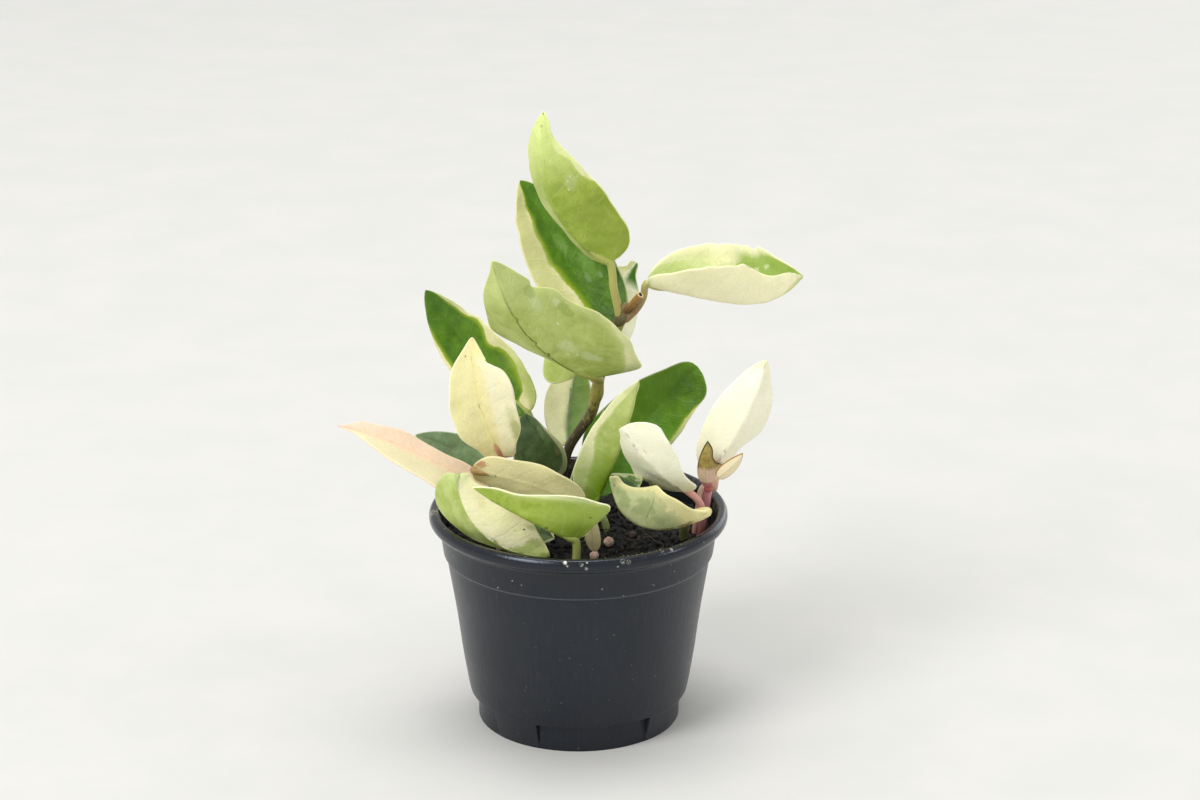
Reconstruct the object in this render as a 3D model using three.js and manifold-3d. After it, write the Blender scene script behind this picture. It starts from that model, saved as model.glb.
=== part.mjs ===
// Potted hoya: a variegated wax plant in a round black nursery pot.
// Millimetres, +Z up. The origin is the middle of the pot's flat underside, and the plant's
// front faces -Y.
import * as THREE from "three";
import { mergeVertices } from "three/addons/utils/BufferGeometryUtils.js";
import Module from "manifold-3d";

const wasm = await Module();
wasm.setup();

// ---------- driving dimensions ----------

const GAP = 0.3; // clearance between pieces that touch on the real plant

const POT_HEIGHT = 78;
const RIM_RADIUS = 52.5;
const BASE_RADIUS = 36;
const FOOT_RADIUS = 37.4; // halfway up the recessed panels
const POT_SIDES = 40;
const WALL = 1.6;
const FLOOR = 4;
const SKIRT_WALL = 3.4;
const SKIRT_TOP = 12;
const BODY_BAND = 41; // heights where the pot's slope changes
const COLLAR_BAND = 61;
const LIP_BAND = 66;

const RECESS_COUNT = 4;
const RECESS_HEIGHT = 9.8;
const RECESS_DEPTH = 1.5;
const RECESS_HALF_ANGLE = THREE.MathUtils.degToRad(31.6);
const FIRST_RECESS = THREE.MathUtils.degToRad(-81);
const DRAIN_RADIUS = 4;
const DRAIN_RING = 23;

const SOIL_LEVEL = 68.6;
const SOIL_RINGS = 7;
const SOIL_SIDES = 32;

const BLADE_MID = 1.6; // leaf thickness at the midrib
const BLADE_EDGE = 0.8; // and at the margin
const NARROWEST = 0.7; // half-width of a leaf's blunt base and tip
const FULL_FOLD_WIDTH = 4.5; // half-width from which a leaf's fold is at its full angle
const HOOK_GAIN = 9.48; // makes u^3 (1 - u) peak at 1
const LEAF_ROWS = [0, 0.03, 0.09, 0.18, 0.3, 0.44, 0.58, 0.71, 0.83, 0.93, 1];
const LEAF_COLUMNS = [-1, -0.68, -0.34, 0, 0.34, 0.68, 1];

// ---------- leaf table ----------
// base, tip: the ends of the midrib. bow: how far its middle stands off the straight line.
// hook: the same, but mostly near the tip. face: the way the upper side looks.
// twist: degrees from base to tip. width: both halves laid flat. halves: scale of each half.
// fold: degrees that each half rises from flat at the midrib. foldTip: the same at the tip.
// curl: degrees that each half bends further towards its margin. lobe: how far the basal
// lobes sweep back, as a share of the half-width. shape: the outline's base and tip exponents.
// bumps: [side, place, depth, length] of notches in the margin; side 0 is both halves.
// on: what carries the stalk. stalk: its route up to the base. stalkRadius: its radius.

const LEAF_DEFAULTS = {
  bow: [0, 0, 0],
  hook: [0, 0, 0],
  twist: 0,
  curl: [0, 0],
  lobe: 0.3,
  shape: [0.55, 0.8],
  halves: [1, 1],
  bumps: [],
};

const LEAVES = [
  {
    name: "leaf_top",
    colour: 0xb9cb80,
    base: [11, 0, 166.5],
    tip: [-11, -8, 221.5],
    bow: [-8.3, -2, -4],
    face: [0.6, 0.8, 0],
    width: 36,
    halves: [0.93, 0.65],
    fold: [38, 38],
    foldTip: [38, 18],
    lobe: 0.5,
    shape: [0.38, 0.75],
    bumps: [[-1, 0.9, -0.42, 0.1], [-1, 0.48, 0.07, 0.12], [1, 0.28, -0.5, 0.2], [1, 0.85, 0.4, 0.12]],
    on: "vine",
    stalk: [[14.6, 1.2, 147], [12.4, 0.2, 157]],
    stalkRadius: 1.4,
  },
  {
    name: "leaf_top_behind",
    colour: 0x5f8a2c,
    base: [10.6, 6, 141],
    tip: [-20.2, 26, 189.2],
    bow: [-1, 4, 0],
    face: [0.1, -1, 0.2],
    width: 30,
    fold: [20, 20],
    shape: [0.4, 0.75],
    on: "vine",
    stalk: [[11.6, 2.2, 137]],
    stalkRadius: 1.2,
  },
  {
    name: "leaf_front",
    colour: 0xa3b56b,
    base: [5.4, -5.5, 127.5],
    tip: [-28.2, -28, 175.8],
    bow: [-5, -3, -4.6],
    face: [0.3, 0.9, 0.3],
    twist: 42,
    width: 38,
    halves: [1, 0.8],
    fold: [30, 38],
    foldTip: [32, 15],
    lobe: 1.45,
    shape: [0.32, 0.75],
    bumps: [
      [1, 0.1, -0.5, 0.22], [1, 0.97, -0.5, 0.09], [1, 0.5, 0.35, 0.14], [-1, 0.4, 0.23, 0.2],
      [-1, 0.67, 0.13, 0.07], [-1, 0.755, -0.17, 0.03], [-1, 0.09, -0.12, 0.09],
    ],
    on: "vine",
    stalk: [[7.3, 0.6, 124.5], [7, -3, 126]],
    stalkRadius: 1.4,
  },
  {
    name: "leaf_back",
    colour: 0xa9ba70,
    base: [3.4, 8, 126],
    tip: [20.6, 26, 159.5],
    bow: [-1, 4, 1],
    face: [0.2, 0.9, -0.1],
    width: 27,
    halves: [0.75, 1.1],
    fold: [15, 15],
    lobe: 0.9,
    shape: [0.35, 0.6],
    bumps: [
      [1, 0.1, 0.35, 0.16], [-1, 0.1, -0.45, 0.16], [-1, 0.92, -0.55, 0.12], [-1, 0.48, 0.1, 0.16],
      [1, 0.92, -0.6, 0.07],
    ],
    on: "vine",
    stalk: [[6.8, 1.8, 123], [4.6, 5, 124]],
    stalkRadius: 1.2,
  },
  {
    name: "leaf_right_high",
    colour: 0xdfe0ac,
    base: [23.6, -2, 160],
    tip: [76.1, -14, 166.2],
    bow: [0, 0, -4.5],
    hook: [0, 0, -4.7],
    face: [0, -0.15, 1],
    width: 39,
    halves: [1, 0.95],
    fold: [54, 40],
    foldTip: [54, 72],
    curl: [20, 20],
    lobe: 0.1,
    shape: [0.5, 0.42],
    bumps: [[-1, 0.93, 0.36, 0.1], [1, 0.92, -0.36, 0.13], [1, 0.6, -0.04, 0.12], [1, 0.15, -0.22, 0.12]],
    on: "vine",
    stalk: [[16.4, 1.2, 146.5], [20, 0.4, 150], [22.3, -0.4, 154.4]],
    stalkRadius: 1.3,
  },
  {
    name: "leaf_left_back",
    colour: 0x4c7a1c,
    base: [-17.8, 17, 106.6],
    tip: [-54.4, 34, 146.9],
    bow: [-2, 3, -1],
    face: [-0.1, -1, 0.3],
    width: 25,
    halves: [0.86, 1],
    fold: [15, 15],
    shape: [0.5, 0.8],
    bumps: [[1, 0.72, -0.12, 0.05], [1, 0.45, -0.06, 0.1]],
    on: "back_shoot",
    stalk: [[-15.3, 15, 99], [-16.4, 15.8, 103.2]],
    stalkRadius: 1.2,
  },
  {
    name: "leaf_pale",
    colour: 0xecdf9e,
    base: [-26.2, -6.5, 98.5],
    tip: [-35.8, -15, 144.9],
    bow: [-2.8, -3, 0],
    face: [0.1, 0.9, 0.06],
    width: 26,
    halves: [1.06, 0.83],
    fold: [-20, -18],
    lobe: 0.3,
    shape: [0.5, 0.75],
    bumps: [
      [-1, 0.12, -0.24, 0.12], [-1, 0.7, 0.3, 0.14], [-1, 0.86, -0.24, 0.04], [-1, 0.82, -0.34, 0.025],
      [-1, 0.95, -0.42, 0.09], [1, 0.95, -0.25, 0.09], [1, 0.14, -0.25, 0.12],
    ],
    on: "left_shoot",
    stalk: [[-25, -5.4, 93]],
    stalkRadius: 1.2,
  },
  {
    name: "leaf_pink",
    colour: 0xecc8ac,
    base: [-31, -3.5, 82.5],
    tip: [-84.4, 2, 107.2],
    bow: [2, -2, 3],
    face: [0.3, -0.5, 0.8],
    width: 26,
    halves: [1.12, 0.85],
    fold: [20, 20],
    shape: [0.6, 1.2],
    bumps: [[1, 0.38, -0.55, 0.28], [1, 0.92, 0.7, 0.1], [1, 0.08, -0.3, 0.12], [-1, 0.91, -0.5, 0.09]],
    on: "left_shoot",
    stalk: [[-22, -3.3, 80], [-27, -4.6, 80.5]],
    stalkRadius: 1.2,
  },
  {
    name: "leaf_front_left",
    colour: 0xc4cf8e,
    base: [-41, -23.5, 98],
    tip: [-9.4, -32, 71.9],
    bow: [-7.2, -1, -5],
    hook: [-0.5, 0, -0.6],
    face: [0.2, 0.9, 0.25],
    width: 27,
    halves: [0.78, 1],
    fold: [20, 25],
    lobe: 0.5,
    shape: [0.45, 0.6],
    bumps: [
      [-1, 0.2, 0.42, 0.17], [-1, 0.75, -0.8, 0.28], [1, 0.1, -0.42, 0.13], [1, 0.4, -0.12, 0.13],
      [1, 0.85, 0.45, 0.15],
    ],
    on: "left_shoot",
    stalk: [[-22.9, -5, 75.6], [-29, -11, 78.5], [-36.5, -18, 87]],
    stalkRadius: 1.2,
  },
  {
    name: "leaf_front_centre",
    colour: 0x8fb84a,
    base: [-0.8, -35.5, 79],
    tip: [-35.4, -36.5, 98.8],
    bow: [0, -2, 0],
    face: [-0.1, 0.75, 0.65],
    width: 32,
    halves: [1, 0.55],
    fold: [38, 42],
    lobe: 0.8,
    shape: [0.25, 0.9],
    bumps: [
      [1, 0.8, -0.5, 0.35], [1, 0.88, 2.2, 0.05], [-1, 0.65, -0.42, 0.3], [-1, 0.02, -0.55, 0.045],
      [-1, 0.1, 0.1, 0.05],
    ],
    on: "soil",
    stalk: [[-1, -32, 60], [-0.6, -34.8, 69]],
    stalkRadius: 1.4,
  },
  {
    name: "leaf_tan",
    colour: 0xdccfa4,
    base: [-36, -16, 97.2],
    tip: [2, -18, 84],
    bow: [3, -2, 2],
    face: [0.1, 0.9, 0.3],
    width: 22,
    halves: [1.13, 0.78],
    fold: [1, 1],
    shape: [0.48, 0.5],
    bumps: [[1, 0.14, 0.14, 0.1], [-1, 0.16, -0.35, 0.14]],
    on: "left_shoot",
    stalk: [[-24, -4.6, 89], [-30.5, -10.5, 93.6]],
    stalkRadius: 1.3,
  },
  {
    name: "leaf_centre",
    colour: 0xb7cc76,
    base: [5, -11, 82],
    tip: [20.7, -13, 129],
    bow: [1, -1, -1],
    face: [-0.7, 0.7, 0.1],
    width: 24,
    halves: [0.8, 1],
    fold: [40, 45],
    shape: [0.5, 0.8],
    on: "soil",
    stalk: [[3, -8, 60], [3.6, -9, 72]],
    stalkRadius: 1.3,
  },
  {
    name: "leaf_right_back",
    colour: 0x4a7d2a,
    base: [4.4, 7, 79.5],
    tip: [42, 16, 124.2],
    bow: [-1.2, 4, 0],
    face: [-0.1, -1, 0.3],
    width: 27,
    halves: [0.95, 0.95],
    fold: [12, 12],
    shape: [0.6, 0.45],
    bumps: [[-1, 0.3, 0.34, 0.2], [-1, 0.88, -0.24, 0.15], [1, 0.96, 0.3, 0.07], [1, 0.72, -0.04, 0.2]],
    on: "soil",
    stalk: [[10.4, 1, 60], [9.6, 2.6, 70]],
    stalkRadius: 1.3,
  },
  {
    name: "leaf_ivory",
    colour: 0xf1ecc6,
    base: [37.2, -14, 88.9],
    tip: [14.8, -22, 114.8],
    bow: [1, -3, -2],
    face: [0.4, 0.8, 0.4],
    width: 23,
    fold: [14, 14],
    lobe: 0.5,
    shape: [0.45, 0.4],
    bumps: [
      [-1, 0.9, 0.3, 0.16], [-1, 0.26, -0.42, 0.24], [-1, 0.52, -0.08, 0.14], [1, 0.08, 1.5, 0.14],
      [1, 0.42, 0.26, 0.18], [1, 0.96, -0.5, 0.06], [1, 0.86, -0.16, 0.08],
    ],
    on: "soil",
    stalk: [[40, -7.5, 60], [43.2, -9, 74], [42, -12, 84]],
    stalkRadius: 1.3,
  },
  {
    name: "leaf_boat",
    colour: 0xcdd6a0,
    base: [44.6, -22.6, 84.3],
    tip: [11.2, -24, 97.9],
    bow: [-2, -3, -9.6],
    hook: [-2, 0, -2],
    face: [0, 0.3, 1],
    width: 27,
    halves: [1.1, 1],
    fold: [40, 65],
    foldTip: [90, 60],
    lobe: 0.25,
    shape: [0.56, 0.36],
    bumps: [
      [1, 0.94, 0.9, 0.09], [1, 0.7, -0.34, 0.14], [1, 0.08, -0.7, 0.18], [-1, 0.95, -0.5, 0.1],
      [-1, 0.08, -0.35, 0.1],
    ],
    on: "soil",
    stalk: [[36.6, -6, 60], [36.9, -8, 69], [37.4, -13, 76.5], [40, -18, 81.5]],
    stalkRadius: 1.7,
  },
  {
    name: "leaf_white",
    colour: 0xf4f2dc,
    base: [45.6, -4, 92],
    tip: [65.4, 6, 129.9],
    bow: [2, -3, 0],
    face: [-0.2, 0.9, -0.1],
    width: 22.5,
    halves: [0.94, 1.03],
    fold: [20, 20],
    shape: [0.5, 0.7],
    bumps: [[-1, 0.25, -0.5, 0.17], [-1, 0.93, -0.25, 0.1]],
    on: "right_shoot",
    stalk: [[45.4, -3.4, 86]],
    stalkRadius: 1.4,
  },
  {
    name: "leaf_small",
    colour: 0xe9e6c8,
    base: [48.4, -11, 93],
    tip: [56.9, -11, 101.7],
    bow: [0.4, 0, -0.4],
    face: [-0.1, 1, 0.2],
    width: 5.4,
    fold: [12, 12],
    shape: [0.4, 0.8],
    on: "right_shoot",
    stalk: [[46.2, -3.2, 85.9], [47.6, -8, 87.2]],
    stalkRadius: 0.8,
  },
  {
    name: "leaf_dark_left",
    colour: 0x4f6f4a,
    base: [-23, 13, 83],
    tip: [-58.2, 20, 97.3],
    bow: [0, 0, 1],
    face: [0, -0.8, 0.6],
    width: 16,
    halves: [1, 0.85],
    fold: [10, 10],
    on: "back_shoot",
    stalk: [[-14, 14.2, 80]],
    stalkRadius: 1.1,
  },
  {
    name: "leaf_dark_centre",
    colour: 0x45613c,
    base: [-10, 9, 86],
    tip: [-18.7, 8, 109.8],
    bow: [2, -3, 0],
    face: [0.1, -1, 0.3],
    width: 26,
    halves: [1, 0.53],
    fold: [12, 12],
    shape: [0.4, 0.8],
    bumps: [[-1, 0.97, 1, 0.08], [1, 0.75, -0.22, 0.18]],
    on: "back_shoot",
    stalk: [[-13.6, 13.6, 76], [-11.5, 10.8, 81]],
    stalkRadius: 1.1,
  },
  {
    name: "leaf_hanging",
    colour: 0x8ba06f,
    base: [-4, 25, 91.5],
    tip: [1, 38, 120.5],
    bow: [-2, 4, 0],
    face: [0, -1, 0.2],
    width: 18,
    fold: [15, 15],
    on: "vine",
    stalk: [[-5.5, 16.8, 80], [-5, 21, 86]],
    stalkRadius: 1.1,
  },
  {
    name: "leaf_narrow",
    colour: 0x8d9a7c,
    base: [-3, -1, 84],
    tip: [9, -1, 114],
    face: [-0.9, 0.2, 0.3],
    width: 10,
    fold: [15, 15],
    on: "soil",
    stalk: [[-3.5, -0.5, 60], [-3.4, -0.5, 72]],
    stalkRadius: 1.1,
  },
  {
    name: "leaf_low_pale",
    colour: 0xe3dcb4,
    base: [5.8, -22, 69.8],
    tip: [5.4, -22, 82.5],
    bow: [-0.6, -0.6, 0],
    face: [0.2, 0.8, 0.2],
    width: 5.6,
    fold: [14, 14],
    on: "soil",
    stalk: [[5.9, -21.5, 61]],
    stalkRadius: 1,
  },
  {
    name: "leaf_low_dark",
    colour: 0x4b6339,
    base: [-21, -23, 76],
    tip: [-8, -25, 75.5],
    bow: [0, 0, 1],
    face: [0, -0.7, 0.7],
    width: 11,
    fold: [10, 10],
    on: "soil",
    stalk: [[-23.5, -22, 61], [-23.5, -22, 70]],
    stalkRadius: 1,
  },
];

// ---------- stem table ----------

const STEMS = {
  vine: {
    path: [[-8, 22, 56], [-6.5, 19, 72], [-3.5, 12, 94.8], [4.2, 7, 109.5], [6.6, 2.5, 120],
      [7.4, 1, 126], [10, 2, 134], [15.5, 2, 148.5]],
    radius: 2.1,
    steps: 22,
    colour: 0x8a6b3c,
  },
  left_shoot: {
    path: [[-20, -2, 58], [-21, -3, 76], [-24, -4.6, 89], [-26, -5.8, 95.5]],
    radius: 1.6,
    steps: 8,
    colour: 0x9c8f4e,
  },
  back_shoot: {
    path: [[-14, 14, 58], [-13.8, 14, 80], [-15.2, 15, 99]],
    radius: 1.6,
    steps: 8,
    colour: 0x6f7a45,
  },
  right_shoot: {
    path: [[40.5, 1, 58], [43.6, 0, 71], [45.2, -2.4, 86], [45.5, -3.6, 88.5]],
    radius: 1.7,
    steps: 8,
    colour: 0xb5606c,
  },
};

const STEM_SIDES = 8;
const STALK_SIDES = 6;

const CUT_STUB = { path: [[15.6, 1, 148.5], [18, -2, 152], [21.6, -5, 157.1]], radius: 1.2 };
const STUB_BORE = { path: [[20, -3.6, 154.4], [22.8, -6, 159.2]], radius: 0.6 };
const TOP_NODE = { centre: [15.4, 1.6, 148], radius: 2.9 };

const SECOND_PINK_STALK = [[39, -2, 58], [41.6, -2, 74], [43, -3, 85], [45.4, -3.4, 88]];
const SECOND_PINK_RADIUS = 1;

const BRACT = {
  base: [45.4, -6.1, 89],
  tip: [44.8, -9, 105.5],
  width: 8,
};

const PEBBLES = [
  { name: "pebble_back", centre: [10.6, -15, 70.2], radius: 1.8 },
  { name: "pebble_front", centre: [5.6, -26.5, 69.6], radius: 1.6 },
];

// ---------- solids ----------

function toSolid(geometry) {
  const bare = geometry.clone();
  bare.deleteAttribute("normal");
  bare.deleteAttribute("uv");
  const merged = mergeVertices(bare, 1e-4);
  return new wasm.Manifold(new wasm.Mesh({
    numProp: 3,
    vertProperties: new Float32Array(merged.attributes.position.array),
    triVerts: new Uint32Array(merged.index.array),
  }));
}

function toGeometry(solid) {
  const mesh = solid.getMesh();
  const geometry = new THREE.BufferGeometry();
  geometry.setAttribute("position", new THREE.BufferAttribute(mesh.vertProperties, 3));
  geometry.setIndex(new THREE.BufferAttribute(mesh.triVerts, 1));
  geometry.computeVertexNormals();
  return geometry;
}

function largestPiece(solid) {
  const pieces = solid.decompose();
  pieces.sort((first, second) => second.volume() - first.volume());
  return pieces[0];
}

function toVector(point) {
  return new THREE.Vector3(...point);
}

function tube(points, radius, sides, steps) {
  const outline = [];
  for (let i = 0; i < sides; i += 1) {
    const angle = (i / sides) * Math.PI * 2;
    outline.push(new THREE.Vector2(radius * Math.cos(angle), radius * Math.sin(angle)));
  }
  return toSolid(new THREE.ExtrudeGeometry(new THREE.Shape(outline), {
    extrudePath: new THREE.CatmullRomCurve3(points.map(toVector)),
    steps,
    bevelEnabled: false,
  }));
}

// The hole that a stem stands in: its own route, a gap wider and a gap deeper.
function clearanceTube(points, radius, sides, steps) {
  const [first, second] = points.map(toVector);
  const below = first.clone().sub(second).setLength(2 * GAP).add(first);
  return tube([below.toArray(), ...points], radius + GAP, sides, steps);
}

// ---------- leaves ----------

function outlineWidth(u, shape) {
  const [base, tip] = shape;
  const widest = base / (base + tip);
  const scale = widest ** base * (1 - widest) ** tip;
  return (u ** base * (1 - u) ** tip) / scale;
}

function halfWidth(leaf, u, side) {
  const inside = Math.min(Math.max(u, 1e-4), 1 - 1e-4);
  const half = leaf.halves[side > 0 ? 1 : 0];
  let width = (leaf.width / 2) * half * outlineWidth(inside, leaf.shape);
  for (const [bumpSide, place, depth, length] of leaf.bumps) {
    if (bumpSide === side || bumpSide === 0) {
      width *= 1 + depth * Math.exp(-(((u - place) / length) ** 2));
    }
  }
  return Math.max(width, NARROWEST);
}

// The midrib's point and the frame there: along it, out of the upper side, and across.
function midribFrame(leaf, u) {
  const base = toVector(leaf.base);
  const chord = toVector(leaf.tip).sub(base);
  const bow = toVector(leaf.bow);
  const hook = toVector(leaf.hook);
  const point = base.clone().addScaledVector(chord, u)
    .addScaledVector(bow, 4 * u * (1 - u))
    .addScaledVector(hook, HOOK_GAIN * u ** 3 * (1 - u));
  const along = chord.clone()
    .addScaledVector(bow, 4 * (1 - 2 * u))
    .addScaledVector(hook, HOOK_GAIN * (3 * u ** 2 - 4 * u ** 3))
    .normalize();
  const flat = toVector(leaf.face);
  flat.addScaledVector(along, -flat.dot(along)).normalize();
  const across = new THREE.Vector3().crossVectors(along, flat);
  const turn = THREE.MathUtils.degToRad(leaf.twist) * (u - 0.5);
  const up = flat.clone().multiplyScalar(Math.cos(turn)).addScaledVector(across, Math.sin(turn));
  across.multiplyScalar(Math.cos(turn)).addScaledVector(flat, -Math.sin(turn));
  return { point, along, up, across };
}

// One point of the blade. w runs from -1 at one margin to 1 at the other; face is 1 on the
// upper side and -1 on the lower.
function bladePoint(leaf, u, w, face) {
  const { point, along, up, across } = midribFrame(leaf, u);
  const side = w >= 0 ? 1 : -1;
  const share = Math.abs(w);
  const half = halfWidth(leaf, u, side);
  const index = side > 0 ? 1 : 0;
  const foldTip = leaf.foldTip ?? leaf.fold;
  const fold = THREE.MathUtils.degToRad(THREE.MathUtils.lerp(leaf.fold[index], foldTip[index], u))
    * Math.min(1, half / FULL_FOLD_WIDTH);
  const curl = THREE.MathUtils.degToRad(leaf.curl[index]);
  let out = share * Math.cos(fold);
  let rise = share * Math.sin(fold);
  if (curl > 0) {
    out = (Math.sin(fold + curl * share) - Math.sin(fold)) / curl;
    rise = (Math.cos(fold) - Math.cos(fold + curl * share)) / curl;
  }
  const angle = fold + curl * share;
  const normal = up.clone().multiplyScalar(Math.cos(angle))
    .addScaledVector(across, -side * Math.sin(angle));
  if (w === 0) {
    normal.copy(up);
  }
  const thickness = BLADE_EDGE + (BLADE_MID - BLADE_EDGE) * (1 - share ** 2)
    * Math.min(1, half / FULL_FOLD_WIDTH);
  const sweep = leaf.lobe * half * share * (1 - u) ** 3;
  return point.clone()
    .addScaledVector(across, side * half * out)
    .addScaledVector(up, half * rise)
    .addScaledVector(along, -sweep)
    .addScaledVector(normal, (face * thickness) / 2);
}

function bladeSolid(leaf) {
  const rows = LEAF_ROWS.length;
  const columns = LEAF_COLUMNS.length;
  const positions = [];
  for (const face of [1, -1]) {
    for (const u of LEAF_ROWS) {
      for (const w of LEAF_COLUMNS) {
        positions.push(...bladePoint(leaf, u, w, face).toArray());
      }
    }
  }
  const upper = (i, j) => i * columns + j;
  const lower = (i, j) => (rows + i) * columns + j;
  const triangles = [];
  const quad = (a, b, c, d) => triangles.push(a, b, c, a, c, d);
  for (let i = 0; i < rows - 1; i += 1) {
    for (let j = 0; j < columns - 1; j += 1) {
      triangles.push(upper(i, j), upper(i, j + 1), upper(i + 1, j + 1));
      triangles.push(upper(i, j), upper(i + 1, j + 1), upper(i + 1, j));
      triangles.push(lower(i, j), lower(i + 1, j + 1), lower(i, j + 1));
      triangles.push(lower(i, j), lower(i + 1, j), lower(i + 1, j + 1));
    }
    quad(upper(i, 0), upper(i + 1, 0), lower(i + 1, 0), lower(i, 0));
    const last = columns - 1;
    quad(upper(i, last), lower(i, last), lower(i + 1, last), upper(i + 1, last));
  }
  for (let j = 0; j < columns - 1; j += 1) {
    quad(upper(0, j), lower(0, j), lower(0, j + 1), upper(0, j + 1));
    const end = rows - 1;
    quad(upper(end, j), upper(end, j + 1), lower(end, j + 1), lower(end, j));
  }
  const geometry = new THREE.BufferGeometry();
  geometry.setAttribute("position", new THREE.Float32BufferAttribute(positions, 3));
  geometry.setIndex(triangles);
  return toSolid(geometry);
}

// The stalk runs from the stem or the soil into the blade, and ends inside the midrib.
function stalkRoute(leaf) {
  const inside = midribFrame(leaf, 0.05).point;
  return [...leaf.stalk, leaf.base, inside.toArray()];
}

function leafSolid(leaf, stems) {
  const route = stalkRoute(leaf);
  const stalk = tube(route, leaf.stalkRadius, STALK_SIDES, 2 * route.length);
  const whole = bladeSolid(leaf).add(stalk);
  return stems[leaf.on] ? largestPiece(whole.subtract(stems[leaf.on])) : whole;
}

function bractSolid() {
  const leaf = {
    ...LEAF_DEFAULTS,
    ...BRACT,
    bow: [0, -0.4, 0],
    face: [0, 1, 0],
    fold: [25, 25],
    shape: [0.35, 0.9],
  };
  return bladeSolid(leaf);
}

// ---------- pot and soil ----------

function potProfile() {
  const outer = [
    [BASE_RADIUS, 0],
    [37.6, 6],
    [39.2, SKIRT_TOP],
    [41.3, 25],
    [43.3, BODY_BAND],
    [46, 57.5],
    [46.6, 61.4],
    [47.6, 62],
    [48.1, 66],
    [48.9, 71.4],
    [50, 72.8],
    [51.6, 73.2],
    [RIM_RADIUS, 74.6],
    [RIM_RADIUS, 76.2],
    [51.6, 77.6],
    [50.4, POT_HEIGHT],
    [49.4, 77.6],
    [48.6, 76.4],
  ];
  const inner = [
    [46.6, LIP_BAND],
    [46.6 - WALL, COLLAR_BAND],
    [43.3 - WALL, BODY_BAND],
    [39.8 - WALL, SKIRT_TOP + 3],
    [39.2 - SKIRT_WALL, SKIRT_TOP],
    [37 - SKIRT_WALL, FLOOR],
  ];
  const points = [[0, 0], ...outer, ...inner, [0, FLOOR]];
  return points.map(([radius, height]) => new THREE.Vector2(radius, height));
}

// The inner wall is the last part of the profile, from under the lip down to the floor.
const INNER_POINTS = 7;

function innerRadiusAt(height) {
  const wall = potProfile().filter((point) => point.x > 0).slice(-INNER_POINTS);
  for (let i = 0; i < wall.length - 1; i += 1) {
    const above = wall[i];
    const below = wall[i + 1];
    if (height <= above.y && height >= below.y) {
      return THREE.MathUtils.mapLinear(height, below.y, above.y, below.x, above.x);
    }
  }
  return wall[wall.length - 1].x;
}

// A block that is curved like the foot of the pot and stands just inside its outer face.
function recessCutter(middle) {
  const shape = new THREE.Shape();
  const from = middle - RECESS_HALF_ANGLE;
  const to = middle + RECESS_HALF_ANGLE;
  const outerEdge = RIM_RADIUS;
  const innerEdge = FOOT_RADIUS - RECESS_DEPTH;
  shape.absarc(0, 0, outerEdge, from, to, false);
  shape.absarc(0, 0, innerEdge, to, from, true);
  shape.closePath();
  const block = new THREE.ExtrudeGeometry(shape, {
    depth: RECESS_HEIGHT + 1,
    bevelEnabled: false,
    curveSegments: 10,
  });
  block.translate(0, 0, -1);
  return toSolid(block);
}

function drainCutter(middle) {
  const hole = new THREE.CylinderGeometry(DRAIN_RADIUS, DRAIN_RADIUS, 3 * FLOOR, 16);
  hole.rotateX(Math.PI / 2);
  hole.translate(DRAIN_RING * Math.cos(middle), DRAIN_RING * Math.sin(middle), 0);
  return toSolid(hole);
}

function potSolid() {
  let pot = toSolid(new THREE.LatheGeometry(potProfile(), POT_SIDES).rotateX(Math.PI / 2));
  for (let i = 0; i < RECESS_COUNT; i += 1) {
    const middle = FIRST_RECESS + (i / RECESS_COUNT) * Math.PI * 2;
    pot = pot.subtract(recessCutter(middle)).subtract(drainCutter(middle));
  }
  return pot;
}

function soilHeight(x, y) {
  const lumps = 0.7 * Math.sin(x * 0.31 + 1.3) * Math.sin(y * 0.27 + 0.4)
    + 0.4 * Math.sin(x * 0.83 + 2.1) * Math.sin(y * 0.71 + 1.7);
  return SOIL_LEVEL + lumps;
}

function soilSolid() {
  const positions = [];
  const triangles = [];
  const ring = (radius, height) => {
    for (let i = 0; i < SOIL_SIDES; i += 1) {
      const angle = (i / SOIL_SIDES) * Math.PI * 2;
      const x = radius * Math.cos(angle);
      const y = radius * Math.sin(angle);
      positions.push(x, y, height ?? soilHeight(x, y));
    }
  };
  const sideClearance = (radius) => (radius - GAP) * Math.cos(Math.PI / POT_SIDES);
  const levels = [FLOOR + GAP, SKIRT_TOP, SKIRT_TOP + 3, BODY_BAND, COLLAR_BAND];
  positions.push(0, 0, FLOOR + GAP);
  for (const level of levels) {
    ring(sideClearance(innerRadiusAt(level)), level);
  }
  const topRadius = sideClearance(innerRadiusAt(LIP_BAND));
  for (let i = SOIL_RINGS; i > 0; i -= 1) {
    ring((topRadius * i) / SOIL_RINGS);
  }
  positions.push(0, 0, soilHeight(0, 0));
  const ringCount = levels.length + SOIL_RINGS;
  const at = (level, i) => 1 + level * SOIL_SIDES + (i % SOIL_SIDES);
  const topPoint = 1 + ringCount * SOIL_SIDES;
  for (let i = 0; i < SOIL_SIDES; i += 1) {
    triangles.push(0, at(0, i + 1), at(0, i));
    for (let level = 0; level < ringCount - 1; level += 1) {
      triangles.push(at(level, i), at(level, i + 1), at(level + 1, i + 1));
      triangles.push(at(level, i), at(level + 1, i + 1), at(level + 1, i));
    }
    triangles.push(at(ringCount - 1, i), at(ringCount - 1, i + 1), topPoint);
  }
  const geometry = new THREE.BufferGeometry();
  geometry.setAttribute("position", new THREE.Float32BufferAttribute(positions, 3));
  geometry.setIndex(triangles);
  return toSolid(geometry);
}

function pebbleSolid(pebble, extra) {
  const ball = new THREE.IcosahedronGeometry(pebble.radius + extra, 1);
  ball.scale(1, 0.9, 0.8);
  ball.translate(...pebble.centre);
  return toSolid(ball);
}

// ---------- stems ----------

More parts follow.
